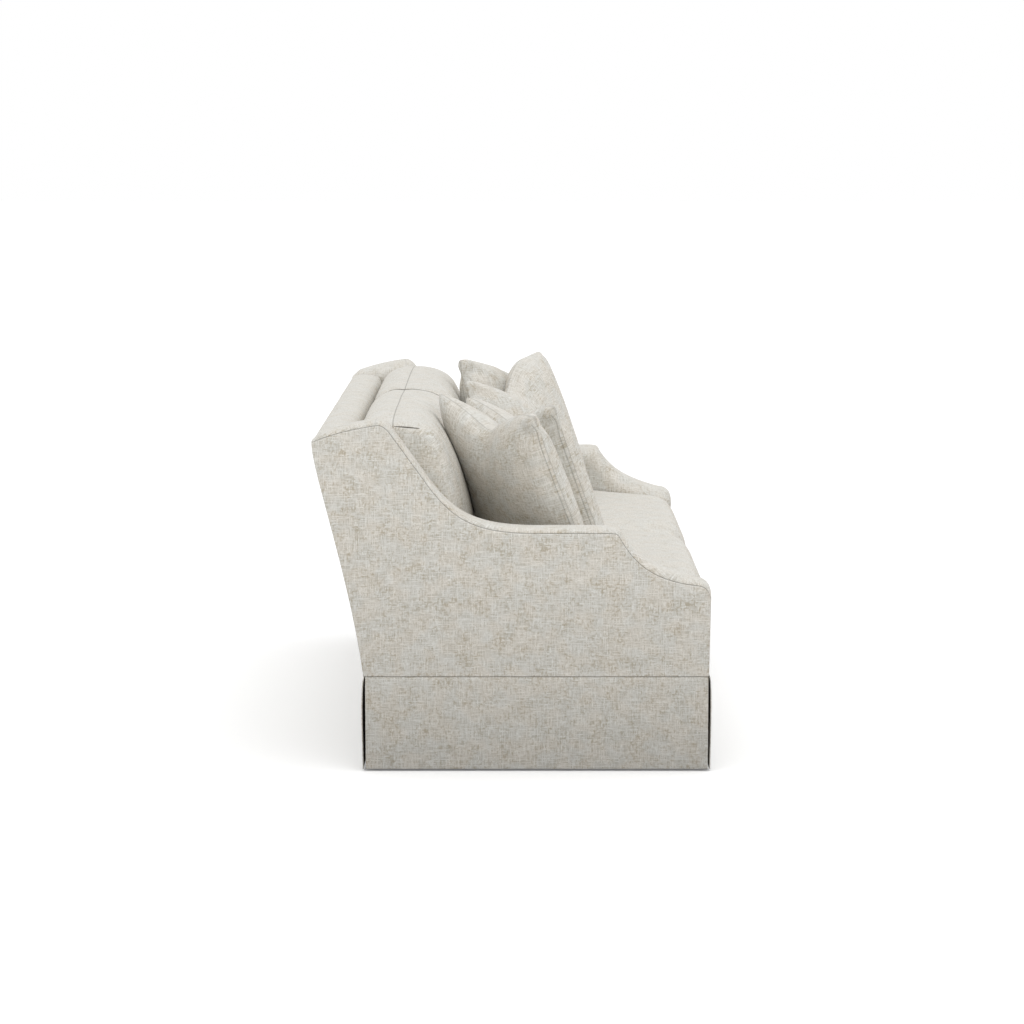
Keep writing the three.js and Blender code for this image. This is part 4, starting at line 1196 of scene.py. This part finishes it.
for node, material in carried.items():
    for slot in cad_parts[node].material_slots:
        slot.material = material
print("sofa: timber, springs and webbing finished")

# Floor, light and camera
light = {
    "dome": 0.85,
    "horizon": 0.76,
    "low": 0.36,
    "sky": (0.993, 0.997, 1.0, 1),
    "lowColor": (1.0, 0.975, 0.93, 1),
    "sun": 0.96,
    "sunWidth": 75,
    "sunTurn": (5, -12, 0),
    "floor": 0.92,
    "glow": 0.15,
    "shade": (0.15, 1.05),  # how far from the sofa the floor's painted shade keeps it throwing little light back, and from where all
    "shadeColors": ((0.12, 0.115, 0.105, 1), (0.90, 0.885, 0.86, 1)),
    "footprint": (1.09, 0.5),
}
camera = {"lens": 107.65, "sensor": 36, "place": (-9.035, 0.0035, 1.692), "down": 7.185}


def showEither(tree, factor, first, second, output):
    either = makeNode(tree, "MixShader", {0: factor, 1: first.outputs[0], 2: second.outputs[0]})
    feed(tree.nodes[output], {"Surface": either.outputs[0]})


def layFloor():
    bm = bmesh.new()
    bmesh.ops.create_grid(bm, x_segments=1, y_segments=1, size=60)
    mesh = bpy.data.meshes.new("floor")
    bm.to_mesh(mesh)
    bm.free()
    material, tree, shader = newMaterial("floor", {
        "Base Color": (light["floor"],) * 3 + (1,), "Roughness": 1.0, "Specular IOR Level": 0.0})
    # the camera sees the same floor a little lifted, so that it is white and keeps its shadow
    glow = makeNode(tree, "Emission", {"Color": (1, 1, 1, 1), "Strength": light["glow"]})
    both = makeNode(tree, "AddShader", {0: shader.outputs[0], 1: glow.outputs[0]})
    # near the sofa the floor is painted darker for the light that bounces off it, a painted shade, so it
    # throws little light back
    place = makeNode(tree, "SeparateXYZ", {0: ownPlace(tree)}).outputs
    outside = [most(worked("SUBTRACT", worked("ABSOLUTE", place[axis]), reach), 0.0)
               for axis, reach in enumerate(light["footprint"])]
    away = worked("SQRT", plus(*(worked("POWER", way, 2.0) for way in outside)))
    returned = mixed(ranged(away, *light["shade"]), *light["shadeColors"])
    dim = makeNode(tree, "BsdfDiffuse", {"Color": returned})
    showEither(tree, makeNode(tree, "LightPath").outputs["Is Camera Ray"], dim, both, "Material Output")
    mesh.materials.append(material)
    addObject("floor", mesh)


def lightStudio():
    scene.world = bpy.data.worlds.new("studio")
    scene.world.use_nodes = True
    tree = scene.world.node_tree
    place = makeNode(tree, "SeparateXYZ", {0: makeNode(tree, "TexCoord").outputs["Generated"]}).outputs
    even = ranged(place["Z"], -0.1, 0.9, light["horizon"], light["dome"])
    # a low, slightly warm light stands past the left end
    low = times(ranged(place["X"], -0.2, -0.9), ranged(place["Z"], 0.4, 0.05))
    background = tree.nodes["Background"]
    feed(background, {"Strength": plus(even, times(low, light["low"])),
                      "Color": mixed(low, light["sky"], light["lowColor"])})
    white = makeNode(tree, "Background", {"Color": (1, 1, 1, 1), "Strength": 1.0})
    rays = makeNode(tree, "LightPath").outputs
    seen = most(rays["Is Camera Ray"], most(rays["Is Glossy Ray"], rays["Is Transmission Ray"]))
    showEither(tree, seen, background, white, "World Output")
    lamp = bpy.data.lights.new("overhead", "SUN")
    lamp.energy = light["sun"]
    lamp.angle = math.radians(light["sunWidth"])
    hung = addObject("overhead", lamp)
    hung.location = (0, 0, 4)
    hung.rotation_euler = [math.radians(turn) for turn in light["sunTurn"]]


def placeCamera():
    data = bpy.data.cameras.new("camera")
    data.lens = camera["lens"]
    data.sensor_width = camera["sensor"]
    data.clip_end = 200
    scene.camera = addObject("camera", data)
    scene.camera.location = camera["place"]
    scene.camera.rotation_euler = (math.radians(90 - camera["down"]), 0, math.radians(-90))


layFloor()
lightStudio()
placeCamera()
scene.view_settings.view_transform = "Standard"

print("sofa: finished")
